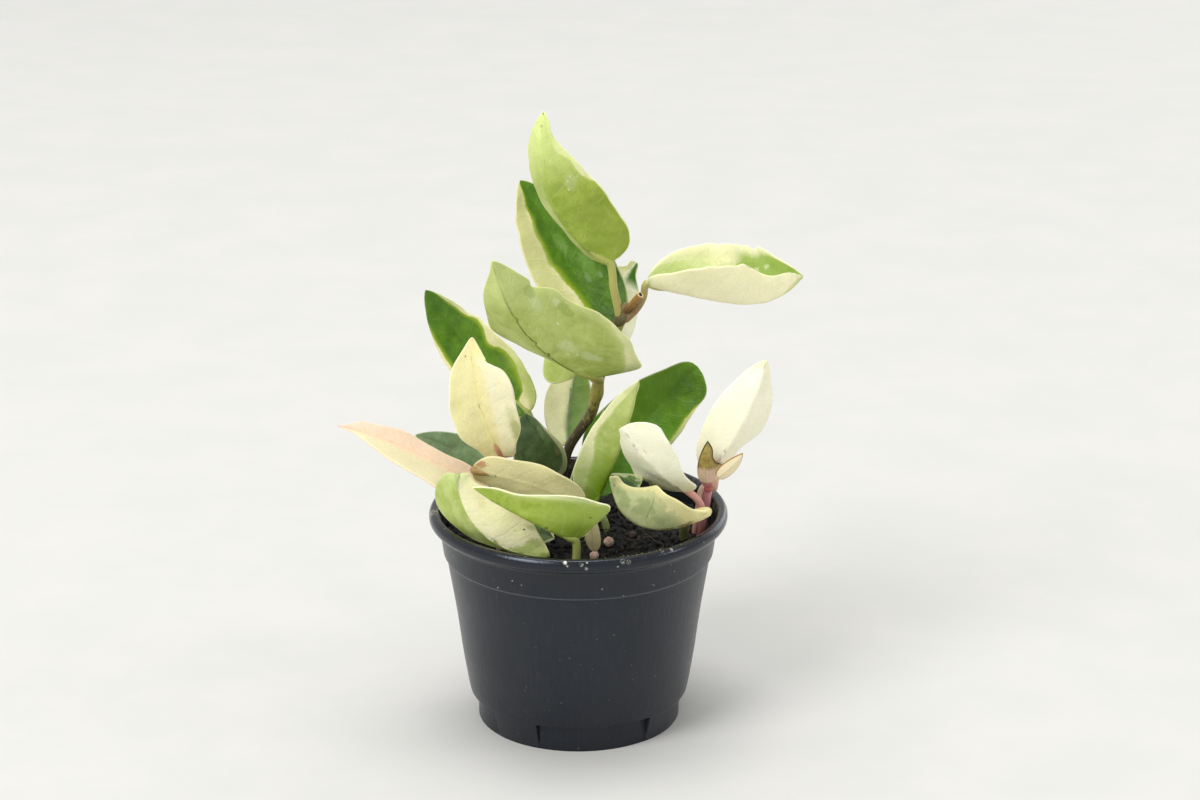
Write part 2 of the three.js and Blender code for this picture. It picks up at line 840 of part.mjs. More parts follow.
function stemSolid(name) {
  const { path, radius, steps } = STEMS[name];
  let stem = tube(path, radius, STEM_SIDES, steps);
  if (name === "vine") {
    const knot = new THREE.IcosahedronGeometry(TOP_NODE.radius, 1);
    knot.scale(0.85, 0.8, 1);
    knot.translate(...TOP_NODE.centre);
    stem = stem.add(toSolid(knot))
      .add(tube(CUT_STUB.path, CUT_STUB.radius, STEM_SIDES, 5))
      .subtract(tube(STUB_BORE.path, STUB_BORE.radius, 6, 1));
  }
  if (name === "right_shoot") {
    stem = stem.add(tube(SECOND_PINK_STALK, SECOND_PINK_RADIUS, STALK_SIDES, 8));
  }
  return stem;
}

// The same stem a gap larger all round, which its leaves and the soil are cut back by.
function stemClearance(name) {
  const { path, radius, steps } = STEMS[name];
  let room = clearanceTube(path, radius, STEM_SIDES, steps);
  if (name === "vine") {
    const knot = new THREE.IcosahedronGeometry(TOP_NODE.radius + GAP, 1);
    knot.scale(0.87, 0.82, 1);
    knot.translate(...TOP_NODE.centre);
    room = room.add(toSolid(knot))
      .add(clearanceTube(CUT_STUB.path, CUT_STUB.radius, STEM_SIDES, 5));
  }
  if (name === "right_shoot") {
    room = room.add(clearanceTube(SECOND_PINK_STALK, SECOND_PINK_RADIUS, STALK_SIDES, 8));
  }
  return room;
}

// ---------- the assembled plant ----------

const group = new THREE.Group();

function place(name, solid, colour, roughness) {
  const material = new THREE.MeshStandardMaterial({ color: colour, roughness, metalness: 0 });
  const mesh = new THREE.Mesh(toGeometry(solid), material);
  mesh.name = name;
  group.add(mesh);
}

const clearances = {};
let soil = soilSolid();
for (const name of Object.keys(STEMS)) {
  clearances[name] = stemClearance(name);
  soil = soil.subtract(clearances[name]);
  place(name, stemSolid(name), STEMS[name].colour, 0.7);
}

for (const entry of LEAVES) {
  const leaf = { ...LEAF_DEFAULTS, ...entry };
  if (leaf.on === "soil") {
    const route = stalkRoute(leaf);
    soil = soil.subtract(clearanceTube(route, leaf.stalkRadius, STALK_SIDES, 2 * route.length));
  }
  place(leaf.name, leafSolid(leaf, clearances), leaf.colour, 0.45);
}

place("bract", bractSolid(), 0x8f7a3e, 0.8);

for (const pebble of PEBBLES) {
  place(pebble.name, pebbleSolid(pebble, 0), 0xb98f7c, 0.8);
  soil = soil.subtract(pebbleSolid(pebble, GAP));
}

place("soil", largestPiece(soil), 0x1c1512, 0.95);
place("pot", potSolid(), 0x2b2c30, 0.5);

export default group;
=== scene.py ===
"""Potted hoya: a variegated wax plant in a round black nursery pot.

Lengths in the tables are millimetres, except for the lights and the camera, which are placed
in metres. +Z is up and the front faces -Y. Meshes are made in metres.
"""

import math
import random

import bpy
import numpy as np
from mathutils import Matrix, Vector, noise


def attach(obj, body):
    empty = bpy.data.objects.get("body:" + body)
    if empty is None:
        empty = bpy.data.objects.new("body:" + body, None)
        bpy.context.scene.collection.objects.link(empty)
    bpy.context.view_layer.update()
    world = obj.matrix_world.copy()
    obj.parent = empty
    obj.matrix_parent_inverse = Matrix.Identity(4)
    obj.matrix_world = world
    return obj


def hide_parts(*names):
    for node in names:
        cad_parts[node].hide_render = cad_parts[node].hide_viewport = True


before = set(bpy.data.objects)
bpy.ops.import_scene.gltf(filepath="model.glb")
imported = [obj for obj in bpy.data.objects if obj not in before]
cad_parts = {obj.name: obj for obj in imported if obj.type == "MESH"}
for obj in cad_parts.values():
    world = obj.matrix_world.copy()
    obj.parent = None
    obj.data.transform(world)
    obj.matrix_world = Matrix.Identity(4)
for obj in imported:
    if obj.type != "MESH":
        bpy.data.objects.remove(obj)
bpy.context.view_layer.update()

MM = 0.001

# ---------- small helpers ----------


def linear(code):
    """A hex colour as seen on a screen, as linear red, green, blue, alpha."""
    parts = [int(code[i:i + 2], 16) / 255 for i in (0, 2, 4)]
    low = [c / 12.92 if c <= 0.04045 else ((c + 0.055) / 1.055) ** 2.4 for c in parts]
    return (*low, 1.0)


def unit(v):
    return v / np.maximum(np.linalg.norm(v, axis=-1, keepdims=True), 1e-12)


def smoothstep(x, low, high):
    t = np.clip((x - low) / (high - low), 0, 1)
    return t * t * (3 - 2 * t)


def make_mesh(name, vertices, faces, attributes=None, material_index=None):
    """A smooth-shaded mesh object. attributes holds one vector of three numbers a vertex."""
    mesh = bpy.data.meshes.new(name)
    mesh.from_pydata((np.asarray(vertices) * MM).tolist(), [], faces)
    for key, values in (attributes or {}).items():
        layer = mesh.attributes.new(key, "FLOAT_VECTOR", "POINT")
        layer.data.foreach_set("vector", np.asarray(values, np.float32).ravel())
    if material_index is not None:
        mesh.polygons.foreach_set("material_index", np.asarray(material_index, np.int32))
    mesh.polygons.foreach_set("use_smooth", np.ones(len(faces), bool))
    mesh.validate()
    mesh.update()
    piece = bpy.data.objects.new(name, mesh)
    bpy.context.scene.collection.objects.link(piece)
    return piece


def settle(piece, node, slot, *materials):
    """The piece gets its materials, stands for a solid and rides on the one body. slot is not
    used."""
    for material in materials:
        piece.data.materials.append(material)
    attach(piece, "root")
    if node:
        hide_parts(node)


def circle(radius, count, turn=0.0):
    """Points (x, y) around a circle about the origin; turn is a share of one step."""
    angles = [2 * math.pi * (k + turn) / count for k in range(count)]
    return [(radius * math.cos(angle), radius * math.sin(angle)) for angle in angles]


def strip(a, b, count):
    """Faces between two closed rings of vertices, which start at numbers a and b."""
    return [(a + k, a + (k + 1) % count, b + (k + 1) % count, b + k) for k in range(count)]


def fan(start, count, tip, flip=False):
    """Faces between a closed ring of vertices and its tip."""
    faces = [(start + k, start + (k + 1) % count, tip) for k in range(count)]
    return [face[::-1] for face in faces] if flip else faces


def lump(rows, sides, place, poles):
    """A closed lump: place(direction) gives a vertex, and poles its top and bottom ones."""
    vertices, faces = [], []
    for i in range(1, rows):
        tilt = math.pi * i / rows
        vertices += [place((x, y, math.cos(tilt))) for x, y in circle(math.sin(tilt), sides)]
    last = (rows - 2) * sides
    for start in range(0, last, sides):
        faces += [(d, a, b, c) for a, b, c, d in strip(start + sides, start, sides)]
    top = len(vertices)
    faces += fan(0, sides, top) + fan(last, sides, top + 1, flip=True)
    return vertices + list(poles), faces


# ---------- node materials ----------


class Shader:
    """One material's node tree, built from plain calls."""

    def __init__(self, name):
        self.material = bpy.data.materials.new(name)
        self.material.use_nodes = True
        self.tree = self.material.node_tree
        self.bsdf = self.tree.nodes["Principled BSDF"]

    def add(self, kind, **settings):
        node = self.tree.nodes.new(kind)
        for key, value in settings.items():
            setattr(node, key, value)
        return node

    def feed(self, socket, value):
        """Sets a socket from another socket, a number, a colour or a hex colour."""
        if isinstance(value, bpy.types.NodeSocket):
            self.tree.links.new(value, socket)
        elif value is not None:
            socket.default_value = linear(value) if isinstance(value, str) else value

    def math(self, operation, a, b=None, c=None):
        node = self.add("ShaderNodeMath", operation=operation)
        for socket, value in zip(node.inputs, (a, b, c)):
            self.feed(socket, value)
        return node.outputs[0]

    def times(self, a, b):
        return self.math("MULTIPLY", a, b)

    def plus(self, a, b):
        return self.math("ADD", a, b)

    def minus(self, a, b):
        return self.math("SUBTRACT", a, b)

    def line(self, value, slope, start):
        """value * slope + start"""
        return self.math("MULTIPLY_ADD", value, slope, start)

    def centred(self, value, slope, start):
        """(value - 0.5) * slope + start, for a noise that runs around 0.5"""
        return self.line(self.minus(value, 0.5), slope, start)

    def mix(self, factor, a, b):
        node = self.add("ShaderNodeMix", data_type="RGBA")
        for index, value in ((0, factor), (6, a), (7, b)):
            self.feed(node.inputs[index], value)
        return node.outputs[2]

    def paint(self, colour, factor, strength, code):
        """The colour with a second one over it, as far as factor and strength say."""
        return self.mix(self.times(factor, strength), colour, code)

    def span(self, *offsets):
        """The length of a vector with these parts."""
        total = self.times(offsets[0], offsets[0])
        for offset in offsets[1:]:
            total = self.line(offset, offset, total)
        return self.math("SQRT", total)

    def remap(self, value, low, high):
        """A soft step from 0 at low to 1 at high."""
        node = self.add("ShaderNodeMapRange", interpolation_type="SMOOTHSTEP")
        for index, item in enumerate((value, low, high, 0.0, 1.0)):
            self.feed(node.inputs[index], item)
        return node.outputs[0]

    def curve(self, value, points):
        """A smooth curve through points of (place, height), heights from 0 to 2."""
        node = self.add("ShaderNodeFloatCurve")
        line = node.mapping.curves[0]
        while len(line.points) < len(points):
            line.points.new(0.5, 0.5)
        for point, (place, height) in zip(line.points, points):
            point.location = (place, height / 2)
        node.mapping.update()
        self.feed(node.inputs[1], value)
        return self.times(node.outputs[0], 2.0)

    def attribute(self, name):
        return self.add("ShaderNodeAttribute", attribute_name=name).outputs["Vector"]

    def parts(self, vector):
        node = self.add("ShaderNodeSeparateXYZ")
        self.feed(node.inputs[0], vector)
        return node.outputs[0], node.outputs[1], node.outputs[2]

    def noise(self, vector, scale, detail, roughness):
        node = self.add("ShaderNodeTexNoise")
        self.feed(node.inputs["Vector"], vector)
        node.inputs["Scale"].default_value = scale
        node.inputs["Detail"].default_value = detail
        node.inputs["Roughness"].default_value = roughness
        return node.outputs[0]

    def cells(self, vector, scale):
        node = self.add("ShaderNodeTexVoronoi")
        self.feed(node.inputs["Vector"], vector)
        node.inputs["Scale"].default_value = scale
        return node.outputs["Distance"]

    def stretch(self, vector, scale, turn=(0, 0, 0)):
        node = self.add("ShaderNodeMapping")
        self.feed(node.inputs["Vector"], vector)
        node.inputs["Rotation"].default_value = turn
        node.inputs["Scale"].default_value = scale
        return node.outputs[0]

    def scaled(self, vector, factor):
        node = self.add("ShaderNodeVectorMath", operation="SCALE")
        self.feed(node.inputs[0], vector)
        self.feed(node.inputs["Scale"], factor)
        return node.outputs[0]

    def place(self):
        """The point in the row frame, in millimetres."""
        return self.scaled(self.add("ShaderNodeTexCoord").outputs["Object"], 1 / MM)

    def bump(self, height, distance):
        node = self.add("ShaderNodeBump")
        node.inputs["Strength"].default_value = 1.0
        node.inputs["Distance"].default_value = distance * MM
        self.feed(node.inputs["Height"], height)
        return node.outputs[0]

    def finish(self, colour, roughness, normal, **settings):
        """The finished material. settings are the shader's own plain values."""
        self.feed(self.bsdf.inputs["Base Color"], colour)
        self.feed(self.bsdf.inputs["Roughness"], roughness)
        self.feed(self.bsdf.inputs["Normal"], normal)
        for key, value in settings.items():
            self.bsdf.inputs[key.replace("_", " ")].default_value = value
        return self.material


# ---------- leaves: shapes ----------
# The same values as the solids: base and tip of the midrib, bow of its middle, hook near the
# tip, the way the upper side faces, twist, width, scale of each half, fold and foldTip of each
# half, curl of each half, basal lobes, outline exponents, notches and the stalk's route.

LEAVES = {
    "leaf_top": dict(
        base=(11, 0, 166.5), tip=(-11, -8, 221.5), bow=(-8.3, -2, -4), face=(0.6, 0.8, 0),
        width=36, halves=(0.93, 0.65), fold=(38, 38), foldTip=(38, 18), lobe=0.5,
        shape=(0.38, 0.75), bumps=[(-1, 0.9, -0.42, 0.1), (-1, 0.48, 0.07, 0.12),
        (1, 0.28, -0.5, 0.2), (1, 0.85, 0.4, 0.12)], stalk=[(14.6, 1.2, 147), (12.4, 0.2, 157)],
        r=1.4),
    "leaf_top_behind": dict(
        base=(10.6, 6, 141), tip=(-20.2, 26, 189.2), bow=(-1, 4, 0), face=(0.1, -1, 0.2),
        width=30, fold=(20, 20), shape=(0.4, 0.75), stalk=[(11.6, 2.2, 137)], r=1.2),
    "leaf_front": dict(
        base=(5.4, -5.5, 127.5), tip=(-28.2, -28, 175.8), bow=(-5, -3, -4.6),
        face=(0.3, 0.9, 0.3), twist=42, width=38, halves=(1, 0.8), fold=(30, 38),
        foldTip=(32, 15), lobe=1.45, shape=(0.32, 0.75), bumps=[(1, 0.1, -0.5, 0.22),
        (1, 0.97, -0.5, 0.09), (1, 0.5, 0.35, 0.14), (-1, 0.4, 0.23, 0.2), (-1, 0.67, 0.13, 0.07),
        (-1, 0.755, -0.17, 0.03), (-1, 0.09, -0.12, 0.09)], stalk=[(7.3, 0.6, 124.5),
        (7, -3, 126)], r=1.4),
    "leaf_back": dict(
        base=(3.4, 8, 126), tip=(20.6, 26, 159.5), bow=(-1, 4, 1), face=(0.2, 0.9, -0.1),
        width=27, halves=(0.75, 1.1), fold=(15, 15), lobe=0.9, shape=(0.35, 0.6),
        bumps=[(1, 0.1, 0.35, 0.16), (-1, 0.1, -0.45, 0.16), (-1, 0.92, -0.55, 0.12),
        (-1, 0.48, 0.1, 0.16), (1, 0.92, -0.6, 0.07)], stalk=[(6.8, 1.8, 123), (4.6, 5, 124)],
        r=1.2),
    "leaf_right_high": dict(
        base=(23.6, -2, 160), tip=(76.1, -14, 166.2), bow=(0, 0, -4.5), hook=(0, 0, -4.7),
        face=(0, -0.15, 1), width=39, halves=(1, 0.95), fold=(54, 40), foldTip=(54, 72),
        curl=(20, 20), lobe=0.1, shape=(0.5, 0.42), bumps=[(-1, 0.93, 0.36, 0.1),
        (1, 0.92, -0.36, 0.13), (1, 0.6, -0.04, 0.12), (1, 0.15, -0.22, 0.12)],
        stalk=[(16.4, 1.2, 146.5), (20, 0.4, 150), (22.3, -0.4, 154.4)], r=1.3),
    "leaf_left_back": dict(
        base=(-17.8, 17, 106.6), tip=(-54.4, 34, 146.9), bow=(-2, 3, -1), face=(-0.1, -1, 0.3),
        width=25, halves=(0.86, 1), fold=(15, 15), shape=(0.5, 0.8),
        bumps=[(1, 0.72, -0.12, 0.05), (1, 0.45, -0.06, 0.1)], stalk=[(-15.3, 15, 99),
        (-16.4, 15.8, 103.2)], r=1.2),
    "leaf_pale": dict(
        base=(-26.2, -6.5, 98.5), tip=(-35.8, -15, 144.9), bow=(-2.8, -3, 0),
        face=(0.1, 0.9, 0.06), width=26, halves=(1.06, 0.83), fold=(-20, -18), lobe=0.3,
        shape=(0.5, 0.75), bumps=[(-1, 0.12, -0.24, 0.12), (-1, 0.7, 0.3, 0.14),
        (-1, 0.86, -0.24, 0.04), (-1, 0.82, -0.34, 0.025), (-1, 0.95, -0.42, 0.09),
        (1, 0.95, -0.25, 0.09), (1, 0.14, -0.25, 0.12)], stalk=[(-25, -5.4, 93)], r=1.2),
    "leaf_pink": dict(
        base=(-31, -3.5, 82.5), tip=(-84.4, 2, 107.2), bow=(2, -2, 3), face=(0.3, -0.5, 0.8),
        width=26, halves=(1.12, 0.85), fold=(20, 20), shape=(0.6, 1.2),
        bumps=[(1, 0.38, -0.55, 0.28), (1, 0.92, 0.7, 0.1), (1, 0.08, -0.3, 0.12),
        (-1, 0.91, -0.5, 0.09)], stalk=[(-22, -3.3, 80), (-27, -4.6, 80.5)], r=1.2),
    "leaf_front_left": dict(
        base=(-41, -23.5, 98), tip=(-9.4, -32, 71.9), bow=(-7.2, -1, -5), hook=(-0.5, 0, -0.6),
        face=(0.2, 0.9, 0.25), width=27, halves=(0.78, 1), fold=(20, 25), lobe=0.5,
        shape=(0.45, 0.6), bumps=[(-1, 0.2, 0.42, 0.17), (-1, 0.75, -0.8, 0.28),
        (1, 0.1, -0.42, 0.13), (1, 0.4, -0.12, 0.13), (1, 0.85, 0.45, 0.15)],
        stalk=[(-22.9, -5, 75.6), (-29, -11, 78.5), (-36.5, -18, 87)], r=1.2),
    "leaf_front_centre": dict(
        base=(-0.8, -35.5, 79), tip=(-35.4, -36.5, 98.8), bow=(0, -2, 0), face=(-0.1, 0.75, 0.65),
        width=32, halves=(1, 0.55), fold=(38, 42), lobe=0.8, shape=(0.25, 0.9),
        bumps=[(1, 0.8, -0.5, 0.35), (1, 0.88, 2.2, 0.05), (-1, 0.65, -0.42, 0.3),
        (-1, 0.02, -0.55, 0.045), (-1, 0.1, 0.1, 0.05)], stalk=[(-1, -32, 60), (-0.6, -34.8, 69)],
        r=1.4),
    "leaf_tan": dict(
        base=(-36, -16, 97.2), tip=(2, -18, 84), bow=(3, -2, 2), face=(0.1, 0.9, 0.3), width=22,
        halves=(1.13, 0.78), fold=(1, 1), shape=(0.48, 0.5), bumps=[(1, 0.14, 0.14, 0.1),
        (-1, 0.16, -0.35, 0.14)], stalk=[(-24, -4.6, 89), (-30.5, -10.5, 93.6)], r=1.3),
    "leaf_centre": dict(
        base=(5, -11, 82), tip=(20.7, -13, 129), bow=(1, -1, -1), face=(-0.7, 0.7, 0.1), width=24,
        halves=(0.8, 1), fold=(40, 45), shape=(0.5, 0.8), stalk=[(3, -8, 60), (3.6, -9, 72)],
        r=1.3),
    "leaf_right_back": dict(
        base=(4.4, 7, 79.5), tip=(42, 16, 124.2), bow=(-1.2, 4, 0), face=(-0.1, -1, 0.3),
        width=27, halves=(0.95, 0.95), fold=(12, 12), shape=(0.6, 0.45),
        bumps=[(-1, 0.3, 0.34, 0.2), (-1, 0.88, -0.24, 0.15), (1, 0.96, 0.3, 0.07),
        (1, 0.72, -0.04, 0.2)], stalk=[(10.4, 1, 60), (9.6, 2.6, 70)], r=1.3),
    "leaf_ivory": dict(
        base=(37.2, -14, 88.9), tip=(14.8, -22, 114.8), bow=(1, -3, -2), face=(0.4, 0.8, 0.4),
        width=23, fold=(14, 14), lobe=0.5, shape=(0.45, 0.4), bumps=[(-1, 0.9, 0.3, 0.16),
        (-1, 0.26, -0.42, 0.24), (-1, 0.52, -0.08, 0.14), (1, 0.08, 1.5, 0.14),
        (1, 0.42, 0.26, 0.18), (1, 0.96, -0.5, 0.06), (1, 0.86, -0.16, 0.08)],
        stalk=[(40, -7.5, 60), (43.2, -9, 74), (42, -12, 84)], r=1.3),
    "leaf_boat": dict(
        base=(44.6, -22.6, 84.3), tip=(11.2, -24, 97.9), bow=(-2, -3, -9.6), hook=(-2, 0, -2),
        face=(0, 0.3, 1), width=27, halves=(1.1, 1), fold=(40, 65), foldTip=(90, 60), lobe=0.25,
        shape=(0.56, 0.36), bumps=[(1, 0.94, 0.9, 0.09), (1, 0.7, -0.34, 0.14),
        (1, 0.08, -0.7, 0.18), (-1, 0.95, -0.5, 0.1), (-1, 0.08, -0.35, 0.1)],
        stalk=[(36.6, -6, 60), (36.9, -8, 69), (37.4, -13, 76.5), (40, -18, 81.5)], r=1.7),
    "leaf_white": dict(
        base=(45.6, -4, 92), tip=(65.4, 6, 129.9), bow=(2, -3, 0), face=(-0.2, 0.9, -0.1),
        width=22.5, halves=(0.94, 1.03), fold=(20, 20), shape=(0.5, 0.7),
        bumps=[(-1, 0.25, -0.5, 0.17), (-1, 0.93, -0.25, 0.1)], stalk=[(45.4, -3.4, 86)], r=1.4),
    "leaf_small": dict(
        base=(48.4, -11, 93), tip=(56.9, -11, 101.7), bow=(0.4, 0, -0.4), face=(-0.1, 1, 0.2),
        width=5.4, fold=(12, 12), shape=(0.4, 0.8), stalk=[(46.2, -3.2, 85.9), (47.6, -8, 87.2)],
        r=0.8),
    "leaf_dark_left": dict(
        base=(-23, 13, 83), tip=(-58.2, 20, 97.3), bow=(0, 0, 1), face=(0, -0.8, 0.6), width=16,
        halves=(1, 0.85), fold=(10, 10), stalk=[(-14, 14.2, 80)], r=1.1),
    "leaf_dark_centre": dict(
        base=(-10, 9, 86), tip=(-18.7, 8, 109.8), bow=(2, -3, 0), face=(0.1, -1, 0.3), width=26,
        halves=(1, 0.53), fold=(12, 12), shape=(0.4, 0.8), bumps=[(-1, 0.97, 1, 0.08),
        (1, 0.75, -0.22, 0.18)], stalk=[(-13.6, 13.6, 76), (-11.5, 10.8, 81)], r=1.1),
    "leaf_hanging": dict(
        base=(-4, 25, 91.5), tip=(1, 38, 120.5), bow=(-2, 4, 0), face=(0, -1, 0.2), width=18,
        fold=(15, 15), stalk=[(-5.5, 16.8, 80), (-5, 21, 86)], r=1.1),
    "leaf_narrow": dict(
        base=(-3, -1, 84), tip=(9, -1, 114), face=(-0.9, 0.2, 0.3), width=10, fold=(15, 15),
        stalk=[(-3.5, -0.5, 60), (-3.4, -0.5, 72)], r=1.1),
    "leaf_low_pale": dict(
        base=(5.8, -22, 69.8), tip=(5.4, -22, 82.5), bow=(-0.6, -0.6, 0), face=(0.2, 0.8, 0.2),
        width=5.6, fold=(14, 14), stalk=[(5.9, -21.5, 61)], r=1),
    "leaf_low_dark": dict(
        base=(-21, -23, 76), tip=(-8, -25, 75.5), bow=(0, 0, 1), face=(0, -0.7, 0.7), width=11,
        fold=(10, 10), stalk=[(-23.5, -22, 61), (-23.5, -22, 70)], r=1),
}
LEAF_DEFAULTS = dict(bow=(0, 0, 0), hook=(0, 0, 0), twist=0, curl=(0, 0), lobe=0.3,
                     shape=(0.55, 0.8), halves=(1, 1), bumps=[], ripple=1.0)

# A blade's grid: its rows, the shares of its length where they start and end, and each half's
# columns on the flat part and on the rounded rim. FLAT_SHARES are the least and the most of a
# half's width that the flat part takes.
LEAF_ROWS = 72
ROW_RANGE = (0.004, 0.994)
INNER_COLUMNS = 13
INNER_CROWDING = 1.3
RIM_COLUMNS = 4
RIM_WIDTH = 0.42
FLAT_SHARES = (0.3, 0.985)
# The least half width at the base and at the tip.
LEAST_HALVES = (0.76, 0.06)
# How thick a blade is at its midrib and at its margin, how much thinner at its tip, and what
# share of that at its very base.
BLADE_MID = 1.6
BLADE_EDGE = 0.8
TIP_THINNING = 0.55
BASE_SHARE = 0.6
# Half widths that fold fully and wave fully, and how softly the fold starts at the midrib.
FULL_FOLD_WIDTH = 4.5
FULL_WAVE_WIDTH = 6
FOLD_ROUNDING = 0.07
# A hook moves the midrib by its own length where it moves it most.
HOOK_GAIN = 9.48
# Small natural waves over the blade, fine ones, along its margin, and in its outline: their
# heights, the last as a share of the width, and how many there are from which length to which.
WIDE_WAVE, WIDE_LENGTHS = 0.34, (5, 13, 30)
FINE_WAVE, FINE_LENGTHS = 0.1, (6, 5, 10)
MARGIN_WAVE, MARGIN_LENGTHS = 0.5, (4, 9, 20)
OUTLINE_WAVE, OUTLINE_LENGTHS = 0.016, (3, 5, 13)
# The groove above the midrib, the ridge below it, and how wide both are.
GROOVE = 0.16
RIDGE = 0.24
RIB_WIDTH = 0.8


def outline(u, shape):
    a, b = shape
    peak = a / (a + b)
    return u ** a * (1 - u) ** b / (peak ** a * (1 - peak) ** b)


def random_waves(rng, count, shortest, longest):
    """Waves of (wave number x, wave number y, phase, share) for small natural unevenness."""
    waves = []
    for _ in range(count):
        length = rng.uniform(shortest, longest)
        angle = rng.uniform(0, 2 * math.pi)
        waves.append((2 * math.pi / length * math.cos(angle),
                      2 * math.pi / length * math.sin(angle),
                      rng.uniform(0, 2 * math.pi), rng.uniform(0.5, 1)))
    return waves


def sum_waves(waves, x, y):
    total = sum(share * np.sin(kx * x + ky * y + phase) for kx, ky, phase, share in waves)
    return total / math.sqrt(len(waves))


class Blade:
    """A leaf blade's middle surface, from the leaf's values."""

    def __init__(self, name, values):
        self.v = {**LEAF_DEFAULTS, **values}
        self.base, self.bow, self.hook, self.face = (
            np.array(self.v[key], float) for key in ("base", "bow", "hook", "face"))
        self.chord = np.array(self.v["tip"], float) - self.base
        self.length = float(np.linalg.norm(self.chord))
        rng = random.Random("blade " + name)
        self.wide = random_waves(rng, *WIDE_LENGTHS)
        self.fine = random_waves(rng, *FINE_LENGTHS)
        self.margin = [random_waves(rng, *MARGIN_LENGTHS) for _ in range(2)]
        self.edge = [random_waves(rng, *OUTLINE_LENGTHS) for _ in range(2)]

    def midrib(self, u):
        u = np.asarray(u, float)[..., None]
        return (self.base + self.chord * u + self.bow * 4 * u * (1 - u)
                + self.hook * HOOK_GAIN * u ** 3 * (1 - u))

    def frame(self, u):
        """Unit vectors along the midrib, across the blade and up from its upper side."""
        u = np.asarray(u, float)[..., None]
        along = unit(self.chord + self.bow * 4 * (1 - 2 * u)
                     + self.hook * HOOK_GAIN * (3 * u ** 2 - 4 * u ** 3))
        up = unit(self.face - (along @ self.face)[..., None] * along)
        across = np.cross(along, up)
        angle = np.radians(self.v["twist"]) * (u - 0.5)
        up, across = (up * np.cos(angle) + across * np.sin(angle),
                      across * np.cos(angle) - up * np.sin(angle))
        return along, across, up

    def half_width(self, u, side):
        """Half of the blade's width on one side, in millimetres; side is 0 or 1."""
        inside = np.clip(u, 1e-4, 1 - 1e-4)
        half = self.v["width"] / 2 * self.v["halves"][side] * outline(inside, self.v["shape"])
        for where, place, depth, length in self.v["bumps"]:
            if where == 2 * side - 1:
                half = half * (1 + depth * np.exp(-((u - place) / length) ** 2))
        x = u * self.length
        wave = OUTLINE_WAVE * self.v["ripple"] * sum_waves(self.edge[side], x, 0 * x)
        at_base, at_tip = LEAST_HALVES
        return np.maximum(half * (1 + wave), (at_base - at_tip) * (1 - u) + at_tip)

    def point(self, u, w):
        """The middle surface at u from base to tip and w from -1 to 1 across."""
        along, across, up = self.frame(u)
        high = w >= 0
        side = np.where(high, 1.0, -1.0)
        q = np.abs(w)

        def pick(values):
            """The first value on the low half, the second on the high half."""
            return np.where(high, values[1], values[0])

        half = pick([self.half_width(u, k) for k in (0, 1)])
        ease = np.minimum(1, half / FULL_FOLD_WIDTH)
        folds = zip(self.v["fold"], self.v.get("foldTip", self.v["fold"]))
        start = ease * pick([np.radians(a + (b - a) * u) for a, b in folds])
        curl = pick(np.radians(self.v["curl"]))
        bend = np.where(np.abs(curl) < 1e-4, 1e-4, curl)
        flat = (np.sin(start + bend * q) - np.sin(start)) / bend
        rise = (np.cos(start) - np.cos(start + bend * q)) / bend
        soft = (np.sqrt(q ** 2 + FOLD_ROUNDING ** 2) - FOLD_ROUNDING) / (
            math.sqrt(1 + FOLD_ROUNDING ** 2) - FOLD_ROUNDING)
        rise = rise * np.where(q > 1e-6, soft / np.maximum(q, 1e-6), 0)
        sweep = self.v["lobe"] * half * q * (1 - u) ** 3
        x, y = u * self.length, side * q * half
        quiet = (smoothstep(u, 0, 0.1) * (1 - smoothstep(u, 0.9, 1))
                 * np.minimum(1, half / FULL_WAVE_WIDTH))
        wave = (WIDE_WAVE * sum_waves(self.wide, x, y) * smoothstep(q, 0.0, 0.5)
                + FINE_WAVE * sum_waves(self.fine, x, y)
                + MARGIN_WAVE * q ** 3 * pick([sum_waves(m, x, 0 * x) for m in self.margin]))
        wave = wave * quiet * self.v["ripple"]
        turn = (start + bend * q)[..., None]
        lift = up * np.cos(turn) - across * side[..., None] * np.sin(turn)
        return (self.midrib(u) + across * (side * half * flat)[..., None]
                + up * (half * rise)[..., None] - along * sweep[..., None]
                + lift * wave[..., None])

    def surface(self, u, w):
        """Points and upper-side unit normals."""
        step = 2e-3
        du = self.point(np.minimum(u + step, 1), w) - self.point(np.maximum(u - step, 0), w)
        dw = self.point(u, w + step) - self.point(u, w - step)
        normal = unit(np.cross(du, dw))
        _, _, up = self.frame(u)
        facing = np.sign(np.sum(normal * up, axis=-1, keepdims=True))
        return self.point(u, w), normal * np.where(facing == 0, 1, facing)


